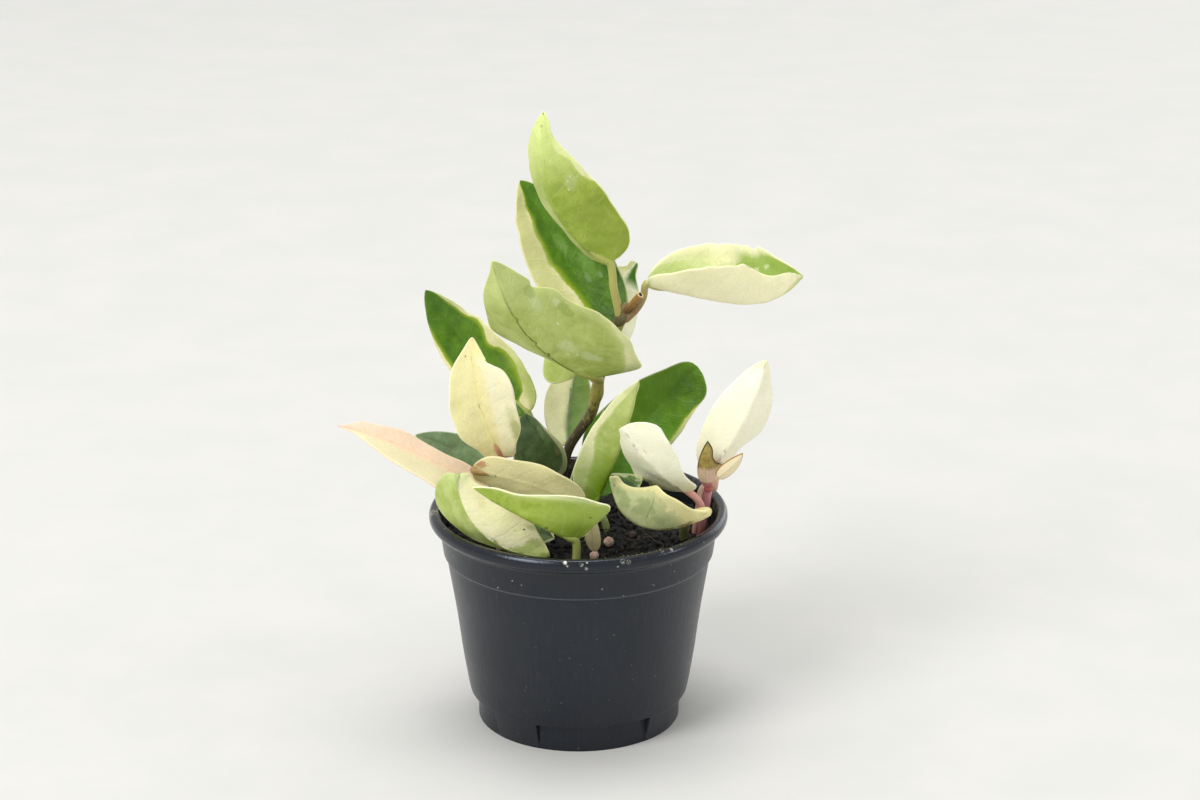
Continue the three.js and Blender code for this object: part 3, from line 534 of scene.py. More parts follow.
def leaf_blade(blade, seed):
    """Vertices, faces, leaf coordinates and material numbers of a closed, rounded blade."""
    t = np.linspace(0, 1, LEAF_ROWS + 1)[1:-1]
    rows = 0.5 - 0.5 * np.cos(np.pi * (0.08 + 0.84 * t))
    first, last = ROW_RANGE
    rows = (rows - rows[0]) / (rows[-1] - rows[0]) * (last - first) + first
    inner = np.linspace(0, 1, INNER_COLUMNS) ** INNER_CROWDING
    rim = np.sin(np.linspace(0, math.pi / 2, RIM_COLUMNS + 1))[1:]
    halves = []
    for side in (0, 1):
        half = blade.half_width(rows, side)[:, None]
        flat_share = np.clip(1 - RIM_WIDTH / half, *FLAT_SHARES)
        q = np.concatenate([inner[None, :] * flat_share,
                            flat_share + (1 - flat_share) * rim[None, :]], axis=1)
        halves.append((q, half, flat_share))
    low, high = halves
    w = np.concatenate([-low[0][:, :0:-1], high[0]], axis=1)
    columns = w.shape[1]
    u = np.repeat(rows[:, None], columns, axis=1)
    points, normals = blade.surface(u, w)
    is_high = (np.arange(columns) >= columns // 2)[None, :]
    half = np.where(is_high, high[1], low[1])
    share = np.where(is_high, high[2], low[2])
    q = np.abs(w)
    rounding = np.sqrt(np.maximum(0, 1 - (np.maximum(q - share, 0) / (1 - share)) ** 2))
    thick = BLADE_MID + (BLADE_EDGE - BLADE_MID) * q ** 1.5
    thick = (thick * (1 - TIP_THINNING * smoothstep(u, 0.75, 1.0))
             * (BASE_SHARE + (1 - BASE_SHARE) * smoothstep(u, 0, 0.04)))
    thick = np.minimum(thick, half * 1.2 + 0.25)
    near_rib = np.exp(-(q * half / RIB_WIDTH) ** 2)
    upper = points + normals * (thick / 2 * rounding - GROOVE * near_rib)[..., None]
    ridge = RIDGE * near_rib * (1 - 0.7 * u)
    under = points - normals * (thick / 2 * rounding + ridge)[..., None]

    vertices, at, flat = [], [], []
    rim_distance = half * (1 - q)
    x = u * blade.length
    y = w * half

    def put(point, u_, w_, rim_, x_, y_):
        vertices.append(point)
        at.append((u_, w_, rim_))
        flat.append((x_, y_, seed))
        return len(vertices) - 1

    top = np.zeros(w.shape, int)
    low_side = np.zeros(w.shape, int)
    for i in range(len(rows)):
        for j in range(columns):
            values = (u[i, j], w[i, j], rim_distance[i, j], x[i, j], y[i, j])
            if j in (0, columns - 1):
                top[i, j] = low_side[i, j] = put(points[i, j], *values)
            else:
                top[i, j] = put(upper[i, j], *values)
                low_side[i, j] = put(under[i, j], *values)
    start = put(blade.midrib(0.0), 0, 0, 0.1, 0, 0)
    end = put(blade.midrib(1.0), 1, 0, 0.05, blade.length, 0)
    faces, kinds = [], []
    for grid, kind in ((top, 0), (low_side, 1)):
        side_faces = [(start, a, b) for a, b in zip(grid[0], grid[0][1:])]
        side_faces += [(end, b, a) for a, b in zip(grid[-1], grid[-1][1:])]
        for i in range(len(rows) - 1):
            for j in range(columns - 1):
                side_faces.append((grid[i, j], grid[i + 1, j], grid[i + 1, j + 1],
                                   grid[i, j + 1]))
        faces += [(face[0], *face[:0:-1]) for face in side_faces] if kind else side_faces
        kinds += [kind] * len(side_faces)
    return np.array(vertices), faces, at, flat, kinds


# ---------- tubes ----------


def spline(points, count):
    """Points along a smooth centripetal curve, evenly spaced along its length."""
    p = [np.array(q, float) for q in points]
    if len(p) == 2:
        p.insert(1, (p[0] + p[1]) / 2)
    p = [2 * p[0] - p[1], *p, 2 * p[-1] - p[-2]]
    path = []
    for i in range(1, len(p) - 2):
        knots = [0.0]
        for a, b in zip(p[i - 1:i + 2], p[i:i + 3]):
            knots.append(knots[-1] + max(np.linalg.norm(b - a) ** 0.5, 1e-4))
        t0, t1, t2, t3 = knots
        for t in np.linspace(t1, t2, 24, endpoint=(i == len(p) - 3)):
            a1 = (t1 - t) / (t1 - t0) * p[i - 1] + (t - t0) / (t1 - t0) * p[i]
            a2 = (t2 - t) / (t2 - t1) * p[i] + (t - t1) / (t2 - t1) * p[i + 1]
            a3 = (t3 - t) / (t3 - t2) * p[i + 1] + (t - t2) / (t3 - t2) * p[i + 2]
            b1 = (t2 - t) / (t2 - t0) * a1 + (t - t0) / (t2 - t0) * a2
            b2 = (t3 - t) / (t3 - t1) * a2 + (t - t1) / (t3 - t1) * a3
            path.append((t2 - t) / (t2 - t1) * b1 + (t - t1) / (t2 - t1) * b2)
    path = np.array(path)
    steps = np.linalg.norm(np.diff(path, axis=0), axis=1)
    run = np.concatenate([[0], np.cumsum(steps)])
    at = np.linspace(0, run[-1], count)
    return np.stack([np.interp(at, run, path[:, k]) for k in range(3)], axis=1), run[-1]


# Rings of a domed end: how far out and how wide, as shares of the tube's radius.
DOME = [(0.95, 0.3), (0.75, 0.66), (0.35, 0.93)]
# Rings of a cut end with a hole in it: how far on in millimetres, and share of the radius.
CUT_END = [(0.22, 0.84), (0.14, 0.56), (-1.4, 0.42)]
# How far the middle of an end stands out, as a share of its ring's radius.
TIP_RISE = 0.12
# How many small waves a tube's skin has, from which length to which.
TUBE_WAVES = (5, 4, 12)
LEAST_RINGS = 8


def tube(points, radius, sides, per_mm, seed, uneven=0.03, cut_end=False, kind=0):
    """A closed tube with domed ends, or with a blind hole in its far end. radius is a function
    of the share of length, and per_mm the number of rings a millimetre."""
    steps = np.linalg.norm(np.diff(np.array(points, float), axis=0), axis=1)
    count = max(LEAST_RINGS, int(steps.sum() * per_mm) + 1)
    path, length = spline(points, count)
    share = np.linspace(0, 1, count)
    tangents = unit(np.gradient(path, axis=0))
    side = np.cross(tangents[0], (0.3, 0.9, 0.2))
    waves = random_waves(random.Random("tube %s" % seed), *TUBE_WAVES)
    stations = [(path[i], tangents[i], radius(share[i]), share[i]) for i in range(count)]
    centre, heading, r, _ = stations[-1]
    if cut_end:
        stations += [(centre + heading * on, heading, r * part, 1.0) for on, part in CUT_END]
    else:
        stations += [(centre + heading * r * out, heading, r * part, 1.0)
                     for out, part in DOME[::-1]]
        centre, heading, r, _ = stations[0]
        stations = [(centre - heading * r * out, heading, r * part, 0.0)
                    for out, part in DOME] + stations
    vertices, at, flat, faces = [], [], [], []
    for centre, tangent, r, s in stations:
        side = unit(side - tangent * (side @ tangent))
        other = np.cross(tangent, side)
        for angle in np.arange(sides) / sides * 2 * math.pi:
            bump = 1 + uneven * float(sum_waves(waves, s * length, angle * r * 2))
            vertices.append(centre + (side * math.cos(angle) + other * math.sin(angle))
                            * r * bump)
            at.append((s, angle, r))
            flat.append((s * length, math.sin(angle) * r * 1.5 + 3 * math.cos(angle), seed))
    last = len(vertices) - sides
    for start in range(0, last, sides):
        faces += strip(start, start + sides, sides)
    for ring, (centre, tangent, r, s), outward in ((0, stations[0], -1), (last, stations[-1], 1)):
        faces += fan(ring, sides, len(vertices), flip=outward < 0)
        vertices.append(centre + tangent * r * TIP_RISE * outward)
        at.append((s, 0, r))
        flat.append((s * length, 0, seed))
    return np.array(vertices), faces, at, flat, [kind] * len(faces)


def build(name, parts, node, slot, *materials):
    """One piece from several parts of (vertices, faces, at, flat, material numbers)."""
    vertices, faces, at, flat, kinds = [], [], [], [], []
    for v, f, a, m, k in parts:
        start = len(vertices)
        vertices.extend(np.asarray(v).tolist())
        faces.extend(tuple(i + start for i in face) for face in f)
        at.extend(a)
        flat.extend(m)
        kinds.extend(k)
    piece = make_mesh(name, vertices, faces, {"leaf_at": at, "leaf_mm": flat}, kinds)
    settle(piece, node, slot, *materials)


# ---------- leaves: looks ----------

ALL = [(0, 1.6), (1, 1.6)]
NONE = [(0, 0.0), (1, 0.0)]

# Each kind of leaf side: deep and mid greens, lime of the zone next to the cream, cream, and
# roughness.
UPPER = {
    "dark": ("3c6403", "5a8408", "98ae1a", "e6e0ae", 0.36),
    "bluish": ("26402a", "456546", "7d9a5a", "cfd2aa", 0.4),
    "slate": ("486038", "728c5a", "98aa66", "d8d8b0", 0.42),
    "green": ("3f7a1a", "6a9c33", "a9c645", "f3eec2", 0.36),
    "light": ("a3b95c", "c3d383", "d0dc90", "f4f0c8", 0.4),
    "ivory": ("c9d28c", "dfe0aa", "e8e5b0", "f9f4d4", 0.42),
    "pink": ("d9c79a", "e4cfa8", "e8d6b0", "efd0b4", 0.44),
}
UNDER = {
    "green": ("8ba034", "a8ba50", "bccb66", "f6f3c8", 0.5),
    "muted": ("9cac50", "b8c572", "c6cf80", "f0edc0", 0.52),
    "bright": ("90a634", "aec058", "c0d06c", "f2f2c4", 0.46),
    "mossy": ("a2ab76", "bcc08c", "cccb92", "dfda9e", 0.48),
    "light": ("a0b254", "bfcd7e", "ced895", "f0ecc0", 0.48),
    "ivory": ("c4cf8c", "dad9a0", "e4e0ac", "f7f2cc", 0.46),
    "tan": ("d6c888", "e8da9a", "ebdea0", "f2e8b2", 0.5),
    "pink": ("dcb89c", "e6c4a4", "e8caa8", "edcdb2", 0.48),
}

# low and high: how far the green reaches across each half, from base to tip.
# seen: the side that the tints and spots are on, or "both".
# tints: (colour, strength, (u from, u to), (w from, w to)), each pair a soft edge or None.
# spots: (colour, strength, u, w, reach along in mm, reach across in mm, raggedness).
LOOKS = {
    "leaf_top": dict(
        upper="green", under="green", seen="under", low=[(0, 1.6), (0.5, 1.4), (0.56, 0.95),
        (0.62, 0.88), (0.68, 0.83), (0.73, 0.86), (0.77, 0.76), (0.8, 0.62), (0.86, 0.66),
        (0.92, 0.62), (0.97, 0.8), (1, 1.2)], high=ALL, ragged=0.06, margin="f2f0c0",
        margin_strength=0.8, rib="a3b25a", grain=0.26, tints=[("deec98", 0.95, (0.5, 0.95), None),
        ("cfd590", 0.75, (0.62, 0.4), (0.05, 0.4)), ("d9e08e", 0.5, (0.5, 0.7), (0.3, 0.8)),
        ("8b9d38", 0.5, (0.3, 0.05), (0, -0.5))],
        spots=[("cdd8a0", 0.35, 0.6, -0.55, 4.5, 2.4, 0.9),
        ("f4f6e2", 0.5, 0.63, -0.6, 0.6, 0.3, 0.9), ("f0f4dc", 0.5, 0.605, -0.5, 0.4, 0.3, 0.9),
        ("eef2d4", 0.4, 0.62, -0.75, 0.4, 0.3, 0.9), ("e6ecba", 0.6, 0.55, -0.42, 0.6, 0.4, 0.9),
        ("93a342", 0.5, 0.33, -0.55, 9, 5, 0.6), ("5f6a3c", 0.7, 0.99, -0.1, 0.45, 0.35, 0.4)]),
    "leaf_top_behind": dict(
        upper="dark", under="green", seen="upper", low=[(0, 0.25), (0.265, 0.28), (0.33, 0.34),
        (0.415, 0.38), (0.485, 0.47), (0.56, 0.42), (0.68, 0.47), (0.775, 0.4), (0.84, 0.46),
        (0.92, 0.36), (1, 0.7)], high=[(0, 0.9), (0.3, 1.3), (1, 1.4)], ragged=0.05,
        lime_width=0.2, rib_strength=0.0, tints=[("c9c886", 0.8, None, (-0.3, -0.6)),
        ("5f8c1e", 0.4, (0.3, 0.6), (-0.5, 0.2))],
        spots=[("a3c28c", 0.3, 0.3, 0.25, 2.2, 1.2, 0.9),
        ("b0cca0", 0.3, 0.28, 0.55, 1.6, 0.8, 0.9), ("84ac50", 0.4, 0.35, 0.4, 6, 3, 0.9),
        ("86a850", 0.4, 0.55, 0.1, 5, 2.4, 0.9)]),
    "leaf_front": dict(
        upper="green", under="muted", seen="under", low=[(0, 0.55), (0.06, 0.7), (0.12, 0.8),
        (0.2, 0.88), (0.3, 0.94), (0.5, 1.0), (0.7, 1.02), (0.85, 1.3), (1, 1.5)], high=[(0, 1.6),
        (0.75, 1.4), (0.83, 1.0), (0.9, 1.3), (1, 1.6)], ragged=0.035, rib="66742e",
        rib_strength=0.9, margin="e6e8a8", grain=0.26,
        tints=[("d4e094", 0.9, (0.6, 0.4), (0.05, 0.4)), ("cdd88e", 0.7, (0.6, 0.85), None),
        ("8ea24c", 0.7, (0.14, 0.0), (0.4, -0.6)), ("c6cf8a", 0.5, None, (-0.75, -0.95)),
        ("bcc87e", 0.45, (0.35, 0.6), (0.0, -0.5))],
        spots=[("ced8a4", 0.5, 0.34, -0.31, 4.6, 2.6, 0.9),
        ("c6d29a", 0.6, 0.22, -0.4, 4, 2, 0.9), ("c4d098", 0.6, 0.67, -0.5, 5, 2, 0.9),
        ("cdd8a6", 0.55, 0.6, -0.82, 3, 1.2, 0.9), ("92a64e", 0.6, 0.54, -0.8, 4, 2, 0.9),
        ("8fa44c", 0.5, 0.74, -0.75, 3, 2, 0.9), ("ecefc8", 0.5, 0.49, -0.49, 0.8, 0.3, 0.9),
        ("e9edc4", 0.5, 0.29, -0.22, 0.7, 0.3, 0.9), ("e6eac0", 0.6, 0.26, -0.3, 0.7, 0.4, 0.9)]),
    "leaf_back": dict(
        upper="dark", under="muted", seen="under", low=[(0, 1.5), (0.16, 0.5), (0.26, 0.0),
        (1, 0.0)], high=[(0, 1.5), (0.25, 1.1), (0.35, 0.1), (0.8, 0.05), (1, 0.1)], ragged=0.04,
        # The near-white tint over most of the blade is lighter than the leaf's own cream: painted
        # light over the shade the leaf sits in.
        margin="f0eec4", rib_strength=0.1, tints=[("fffee6", 1.0, None, (0.3, 0.1)),
        ("4a8420", 0.95, (0.74, 0.84), (0.1, -0.15))]),
    "leaf_right_high": dict(
        upper="light", under="ivory", seen="both", low=[(0, 0.9), (0.05, 0.84), (0.17, 0.74),
        (0.3, 0.68), (0.4, 0.56), (0.46, 0.44), (0.53, 0.6), (0.6, 0.78), (0.7, 0.84),
        (0.8, 0.84), (0.92, 0.86), (1, 0.9)], high=[(0, 0.3), (0.06, 0.1), (0.5, 0.0), (0.8, 0.0),
        (0.9, 0.12), (1, 0.4)], ragged=0.07, lime_width=0.26, rib_strength=0.0,
        tints=[("a9b868", 0.7, (0.06, 0.01), None), ("8aac40", 0.6, (0.48, 0.6), (-0.1, -0.5)),
        ("d0dc9c", 0.5, (0.46, 0.3), (-0.02, -0.3)), ("f8f4cc", 0.8, None, (-0.8, -0.96)),
        ("f6f2c6", 0.5, None, (0.3, 0.9))], spots=[("d3dea6", 0.6, 0.5, -0.62, 5, 1.6, 0.9),
        ("d8e2ae", 0.6, 0.3, -0.6, 5, 1.6, 0.9), ("87a544", 0.45, 0.66, -0.6, 5, 3, 0.8),
        ("dfe8bc", 0.6, 0.74, -0.62, 2, 1, 0.9), ("e3eac4", 0.5, 0.85, -0.6, 2, 1, 0.9)]),
    "leaf_left_back": dict(
        upper="dark", under="green", seen="upper", low=[(0, 0.8), (0.5, 0.9), (0.7, 0.93),
        (0.85, 1.2), (1, 1.4)], high=[(0, 0.05), (0.08, 0.12), (0.125, 0.55), (0.175, 0.66),
        (0.27, 0.8), (0.345, 0.82), (0.4, 0.79), (0.465, 0.64), (0.525, 0.75), (0.6, 0.9),
        (0.77, 0.84), (0.875, 0.8), (1, 1.2)], ragged=0.03, lime_width=0.2, margin_strength=0.05,
        rib_strength=0.0, tints=[("86a010", 0.6, (0.5, 0.15), (0.35, 0.75)),
        ("416b08", 0.5, (0.6, 1.0), None)]),
    "leaf_pale": dict(
        upper="ivory", under="ivory", seen="under", low=[(0, 0.3), (0.4, 0.05), (1, 0)],
        high=NONE, ragged=0.05, rib="d9c98a", margin="faf5d4", margin_strength=0.5, veins=0.02,
        # On this leaf the near-white over the outer part of the w<0 half is painted light, and
        # the two olive spots low on that half's outer edge are painted shade.
        tints=[("fffffa", 1.0, None, (-0.25, -0.4)), ("fbf2b6", 0.95, None, (-0.2, -0.02)),
        ("f6edb2", 0.95, (0.8, 0.9), None), ("f2e6a2", 0.6, None, (0.25, -0.1)),
        ("edd0a4", 0.4, (0.84, 0.97), (0.0, 0.7)), ("e2a890", 0.5, (0.96, 1.0), None),
        ("d0806c", 0.9, (0.055, 0.0), None)], spots=[("a9ab68", 0.8, 0.26, -0.98, 7, 2.6, 0.5),
        ("c4c68a", 0.5, 0.3, -0.9, 10, 4, 0.5), ("bf8468", 0.85, 0.86, 0.5, 0.5, 0.4, 0.4)]),
    "leaf_pink": dict(
        upper="pink", under="pink", seen="upper", low=NONE, high=NONE, ragged=0.05, rib="e2b49c",
        margin="f4dcc0", veins=0.02, tints=[("e2dab0", 0.95, None, (0.1, -0.4)),
        ("e0a898", 0.7, (0.86, 1.0), None), ("dcb49c", 0.6, (0.45, 0.1), (0.0, 0.6)),
        ("e6ceb4", 0.8, None, (0.1, 0.5))]),
    "leaf_front_left": dict(
        upper="green", under="light", seen="under", low=ALL, high=[(0, 0.0), (0.7, 0.0),
        (0.8, 0.12), (0.88, 0.5), (1, 0.9)], ragged=0.16, rib="a3ae62", margin="dde2a4",
        rib_strength=0.2, tints=[("e2dfa4", 0.5, None, (0.1, 0.6)),
        ("cfdc98", 0.5, (0.12, 0.0), None)], spots=[("a2b066", 0.6, 0.93, 0.6, 3.4, 1.8, 0.9),
        ("7c8a40", 0.6, 0.985, 0.2, 2, 1.0, 0.9), ("98a65c", 0.5, 0.86, 0.8, 2, 1.0, 0.9),
        ("4c4a28", 0.9, 0.81, 0.62, 0.45, 0.4, 0.4), ("56512c", 0.8, 0.74, 0.5, 0.3, 0.3, 0.4),
        ("d8cf98", 0.5, 0.3, 0.5, 4, 2, 0.8)]),
    "leaf_front_centre": dict(
        upper="green", under="bright", seen="under", low=[(0, 1.6), (0.1, 1.02), (0.7, 0.97),
        (1, 1.2)], high=[(0, 0.3), (0.3, 0.05), (0.6, 0.6), (1, 1.2)], ragged=0.02,
        margin="f4f2cc", margin_strength=0.95, rib_strength=0.15,
        tints=[("56700c", 0.85, (0.34, 0.06), (-0.7, -0.1)),
        ("c4d184", 0.55, None, (-0.6, -0.95)), ("90aa44", 0.4, (0.75, 0.95), None),
        ("86a034", 0.4, (0.5, 0.3), None)], spots=[("2c3418", 0.7, 0.12, -0.6, 0.4, 0.3, 0.2)]),
    "leaf_tan": dict(
        upper="ivory", under="tan", seen="under", low=NONE, high=NONE, ragged=0.05, rib="dccf96",
        margin="efe6b8", veins=0.02, rib_strength=0.1, tints=[("f0e6b2", 0.6, None, (0.9, 0.1)),
        ("9a642c", 0.95, (0.05, 0.0), None), ("c9a468", 0.6, (0.12, 0.02), None),
        ("e0d8a0", 0.4, (0.7, 1.0), None)], spots=[("5a4630", 0.9, 0.165, 0.01, 0.35, 0.3, 0.3),
        ("c08a62", 0.7, 0.07, 0.7, 2, 1.4, 0.8)]),
    "leaf_centre": dict(
        upper="green", under="light", seen="under", low=[(0, 1.5), (1, 1.5)], high=[(0, 0.7),
        (0.06, 0.72), (0.125, 0.6), (0.25, 0.56), (0.37, 0.6), (0.515, 0.78), (0.64, 0.82),
        (0.7, 0.75), (0.785, 0.7), (0.9, 0.5), (1, 0.3)], ragged=0.06, lime_width=0.12,
        margin="f6f2cc", tints=[("6c960c", 1.0, (0.46, 0.14), (0.6, 0.0)),
        ("7da01c", 0.6, (0.6, 0.2), None), ("cbd68c", 0.5, (0.5, 0.9), None),
        ("d2dc9a", 0.5, None, (-0.1, -0.6))]),
    "leaf_right_back": dict(
        upper="dark", under="green", seen="upper", low=ALL, high=[(0, 1.2), (0.4, 0.97),
        (0.5, 0.92), (0.8, 0.95), (0.92, 1.2), (1, 1.4)], ragged=0.02, margin_strength=0.2,
        rib_strength=0.1, tints=[("629a18", 0.75, (0.9, 0.4), None),
        ("6c9424", 0.5, None, (0.2, -0.6))], spots=[("8aa858", 0.4, 0.45, -0.3, 3, 1.6, 0.8)]),
    "leaf_ivory": dict(
        upper="ivory", under="ivory", seen="under", low=NONE, high=NONE, ragged=0.05,
        rib="f3ebc0", margin="fffbe6", veins=0.01, tints=[("fffee2", 1.0, None, None),
        ("f6ecc6", 0.6, (0.3, 0.0), None), ("ecd9b4", 0.4, (0.14, 0.0), (0.3, 1.0))],
        spots=[("e2cca4", 0.6, 0.72, -0.15, 0.9, 0.6, 0.8)]),
    "leaf_boat": dict(
        upper="bluish", under="mossy", seen="both", low=[(0, 0.0), (0.15, 0.1), (0.28, 0.5),
        (0.45, 0.8), (0.7, 0.86), (0.85, 0.7), (1, 0.5)], high=[(0, 0.3), (0.3, 0.9), (0.6, 0.92),
        (0.85, 0.94), (1, 0.6)], ragged=0.3, lime_width=0.3, margin="efe9b4", margin_strength=0.8,
        rib_strength=0.0, tints=[("e9e2a6", 0.8, None, (-0.8, -0.98)),
        ("e6dc98", 0.7, (0.3, 0.12), None), ("eee4a6", 1.0, (0.15, 0.08), None)],
        spots=[("93a068", 0.7, 0.62, -0.45, 6, 3.4, 1.0),
        ("8b9a60", 0.6, 0.85, -0.3, 3.4, 2.4, 1.0), ("9aa872", 0.6, 0.45, -0.3, 4, 2, 1.0),
        ("7c6c34", 0.75, 0.2, -0.1, 3, 0.6, 1.0), ("80723c", 0.7, 0.34, -0.06, 2.4, 0.5, 1.0),
        ("75855a", 0.75, 0.56, -0.5, 0.35, 5, 0.4)]),
    "leaf_white": dict(
        upper="ivory", under="ivory", seen="under", low=NONE, high=NONE, ragged=0.05,
        rib="f6f1d2", margin="fffdf0", rib_strength=0.15, veins=0.015,
        tints=[("fbf8e0", 0.85, None, None), ("f3ecb4", 0.6, (0.85, 1.0), None),
        ("ead9b0", 0.6, (0.15, 0.0), None)]),
    "leaf_small": dict(
        upper="ivory", under="ivory", seen="both", low=NONE, high=NONE, ragged=0.05,
        margin="9a7434", margin_strength=0.95, tints=[("f0dcba", 0.7, None, None)]),
    "leaf_dark_left": dict(
        upper="slate", under="green", rib_strength=0.1, low=[(0, 0.9), (1, 1.2)], high=[(0, 0.95),
        (1, 1.2)], ragged=0.03, margin_strength=0.2, tints=[("8ea27c", 0.2, None, None)]),
    "leaf_dark_centre": dict(
        upper="slate", under="green", seen="upper", low=ALL, rib_strength=0.1, high=[(0, 0.4),
        (0.27, 0.78), (0.56, 0.8), (0.8, 0.9), (1, 1.1)], ragged=0.06, margin_strength=0.25,
        # The lighter green towards the base is painted light over the shade that falls on the
        # leaf's lower part.
        tints=[("7c9868", 0.55, (0.5, 0.1), None), ("34482e", 0.4, (0.5, 0.8), None)],
        spots=[("b09a80", 0.5, 0.4, 0.62, 2, 0.8, 0.9), ("8a9c78", 0.4, 0.7, 0.4, 3, 1, 0.9)]),
    "leaf_hanging": dict(
        upper="slate", under="green", seen="upper", low=[(0, 0.9), (0.23, 0.46), (0.4, 0.03),
        (0.65, 0.03), (1, 0.02)], high=[(0, 1.4), (0.4, 1.1), (0.7, 1.0), (1, 1.0)], ragged=0.2,
        # The near-white cream over the w<0 half is lighter than the leaf's own cream: painted
        # light over the shade the leaf sits in.
        lime_width=0.6, rib_strength=0.0, tints=[("7c9a3c", 0.6, None, (0.0, 0.3)),
        ("fdf9cf", 1.0, None, (0.15, -0.3))]),
    "leaf_narrow": dict(
        upper="bluish", under="green", low=ALL, high=[(0, 0.9), (1, 0.8)], ragged=0.1,
        seen="both", tints=[("8f9c7c", 0.6, None, None)]),
    "leaf_low_pale": dict(
        upper="ivory", under="tan", seen="both", low=NONE, high=NONE, ragged=0.05,
        tints=[("ddd0a0", 0.8, None, None)]),
    "leaf_low_dark": dict(
        upper="slate", under="green", low=[(0, 0.9), (0.7, 0.8), (1, 0.0)], high=[(0, 0.9),
        (0.7, 0.8), (1, 0.0)], ragged=0.1, margin_strength=0.25),
}
LOOK_DEFAULTS = dict(
    seen="both", lime_width=0.1, rib=None, rib_strength=0.25, veins=0.05, margin="eeedc0",
    margin_strength=0.5, grain=0.18, tints=[], spots=[])
UNDER_RIB, UPPER_RIB = "8a9c42", "8faa50"
UNDER_VEIN, UPPER_VEIN = "dfe6b4", "9fb85a"
VEIN_SPACING = 6.2
VEIN_LEAN = 0.75
# Light that enters the skin: how much, how far each colour goes, and the scale in millimetres.
LEAF_GLOW = (0.22, (1.0, 1.0, 0.35), 1.2)
STEM_GLOW = (0.12, (1.0, 0.8, 0.4), 1.0)


def glow(weight, radius, scale):
    return dict(Subsurface_Weight=weight, Subsurface_Radius=radius, Subsurface_Scale=scale * MM)


def leaf_material(name, side):
    """One side of a leaf: variegation, mottling, midrib, side veins, margin and small marks; on
    some leaves the tints and spots also hold painted light and shade.
    """
    look = {**LOOK_DEFAULTS, **LOOKS[name]}
    upper = side == "upper"
    deep, mid, lime, pale, gloss = (UPPER if upper else UNDER)[look[side]]
    s = Shader(name + "_" + side)
    u, w, rim = s.parts(s.attribute("leaf_at"))
    flat = s.attribute("leaf_mm")
    x, y, _ = s.parts(flat)
    big = s.noise(flat, 0.09, 3, 0.55)
    middle = s.noise(flat, 0.3, 3, 0.6)
    fine = s.noise(flat, 1.3, 3, 0.6)
    grain = s.noise(flat, 5.0, 2, 0.6)

    # green as far as each half's reach, cream beyond it
    on_high = s.math("GREATER_THAN", w, 0.0)
    reach = s.plus(s.times(s.curve(u, look["low"]), s.minus(1.0, on_high)),
                   s.times(s.curve(u, look["high"]), on_high))
    ragged = s.centred(middle, 2.4 * look["ragged"], s.centred(fine, 1.6 * look["ragged"], 0.0))
    inside = s.plus(s.minus(reach, s.math("ABSOLUTE", w)), ragged)
    tone = s.line(middle, 0.45, s.times(big, 0.55))
    green = s.mix(s.remap(tone, 0.34, 0.66), deep, mid)
    green = s.paint(green, s.remap(inside, look["lime_width"], 0.0), 0.85, lime)
    cream = s.paint(pale, s.remap(tone, 0.35, 0.7), 0.3, lime)
    colour = s.mix(s.remap(inside, -0.025, 0.03), cream, green)

    marked = look["seen"] in (side, "both")
    for code, strength, along, across in look["tints"] if marked else ():
        factor = s.line(middle, 0.5, 0.75)
        if along:
            factor = s.times(factor, s.remap(u, *along))
        if across:
            factor = s.times(factor, s.remap(w, *across))
        colour = s.paint(colour, factor, strength, code)

    # midrib and side veins
    from_rib = s.math("ABSOLUTE", y)
    on_rib = s.times(s.remap(from_rib, 0.4, 0.12), s.remap(u, 1.0, 0.5))
    rib = look["rib"] or (UPPER_RIB if upper else UNDER_RIB)
    colour = s.paint(colour, on_rib, look["rib_strength"], rib)
    bend = s.centred(big, 7.0, s.line(from_rib, -VEIN_LEAN, x))
    vein = s.math("COSINE", s.times(bend, 2 * math.pi / VEIN_SPACING))
    vein = s.times(s.remap(vein, 0.82, 1.0), s.remap(rim, 0.6, 3.0))
    colour = s.paint(colour, vein, look["veins"], UPPER_VEIN if upper else UNDER_VEIN)

    blade = BLADES[name]
    for code, strength, at_u, at_w, along_mm, across_mm, rough in look["spots"] if marked else ():
        half = float(blade.half_width(np.array(at_u), 1 if at_w >= 0 else 0))
        dx = s.math("DIVIDE", s.minus(x, at_u * blade.length), along_mm)
        dy = s.math("DIVIDE", s.minus(y, at_w * half), across_mm)
        source = fine if min(along_mm, across_mm) < 2 else middle
        far = s.centred(source, 2.2 * rough, s.span(dx, dy))
        colour = s.paint(colour, s.remap(far, 1.05, 0.55), strength, code)

    # line along the margin, and grain
    on_margin = s.remap(rim, 0.55, 0.2)
    colour = s.paint(colour, on_margin, look["margin_strength"], look["margin"])
    rough = look["grain"]
    light = s.times(s.line(grain, rough, 1 - rough / 2), s.line(fine, rough, 1 - rough / 2))
    height = s.line(fine, 0.5, s.times(grain, 0.25))
    height = s.line(vein, -0.2 if upper else 0.2, height)
    height = s.line(middle, 1.2, height)
    return s.finish(s.scaled(colour, light), s.line(fine, 0.16, gloss - 0.06),
                    s.bump(height, 0.22), Specular_IOR_Level=0.32 if upper else 0.24,
                    **glow(*LEAF_GLOW))


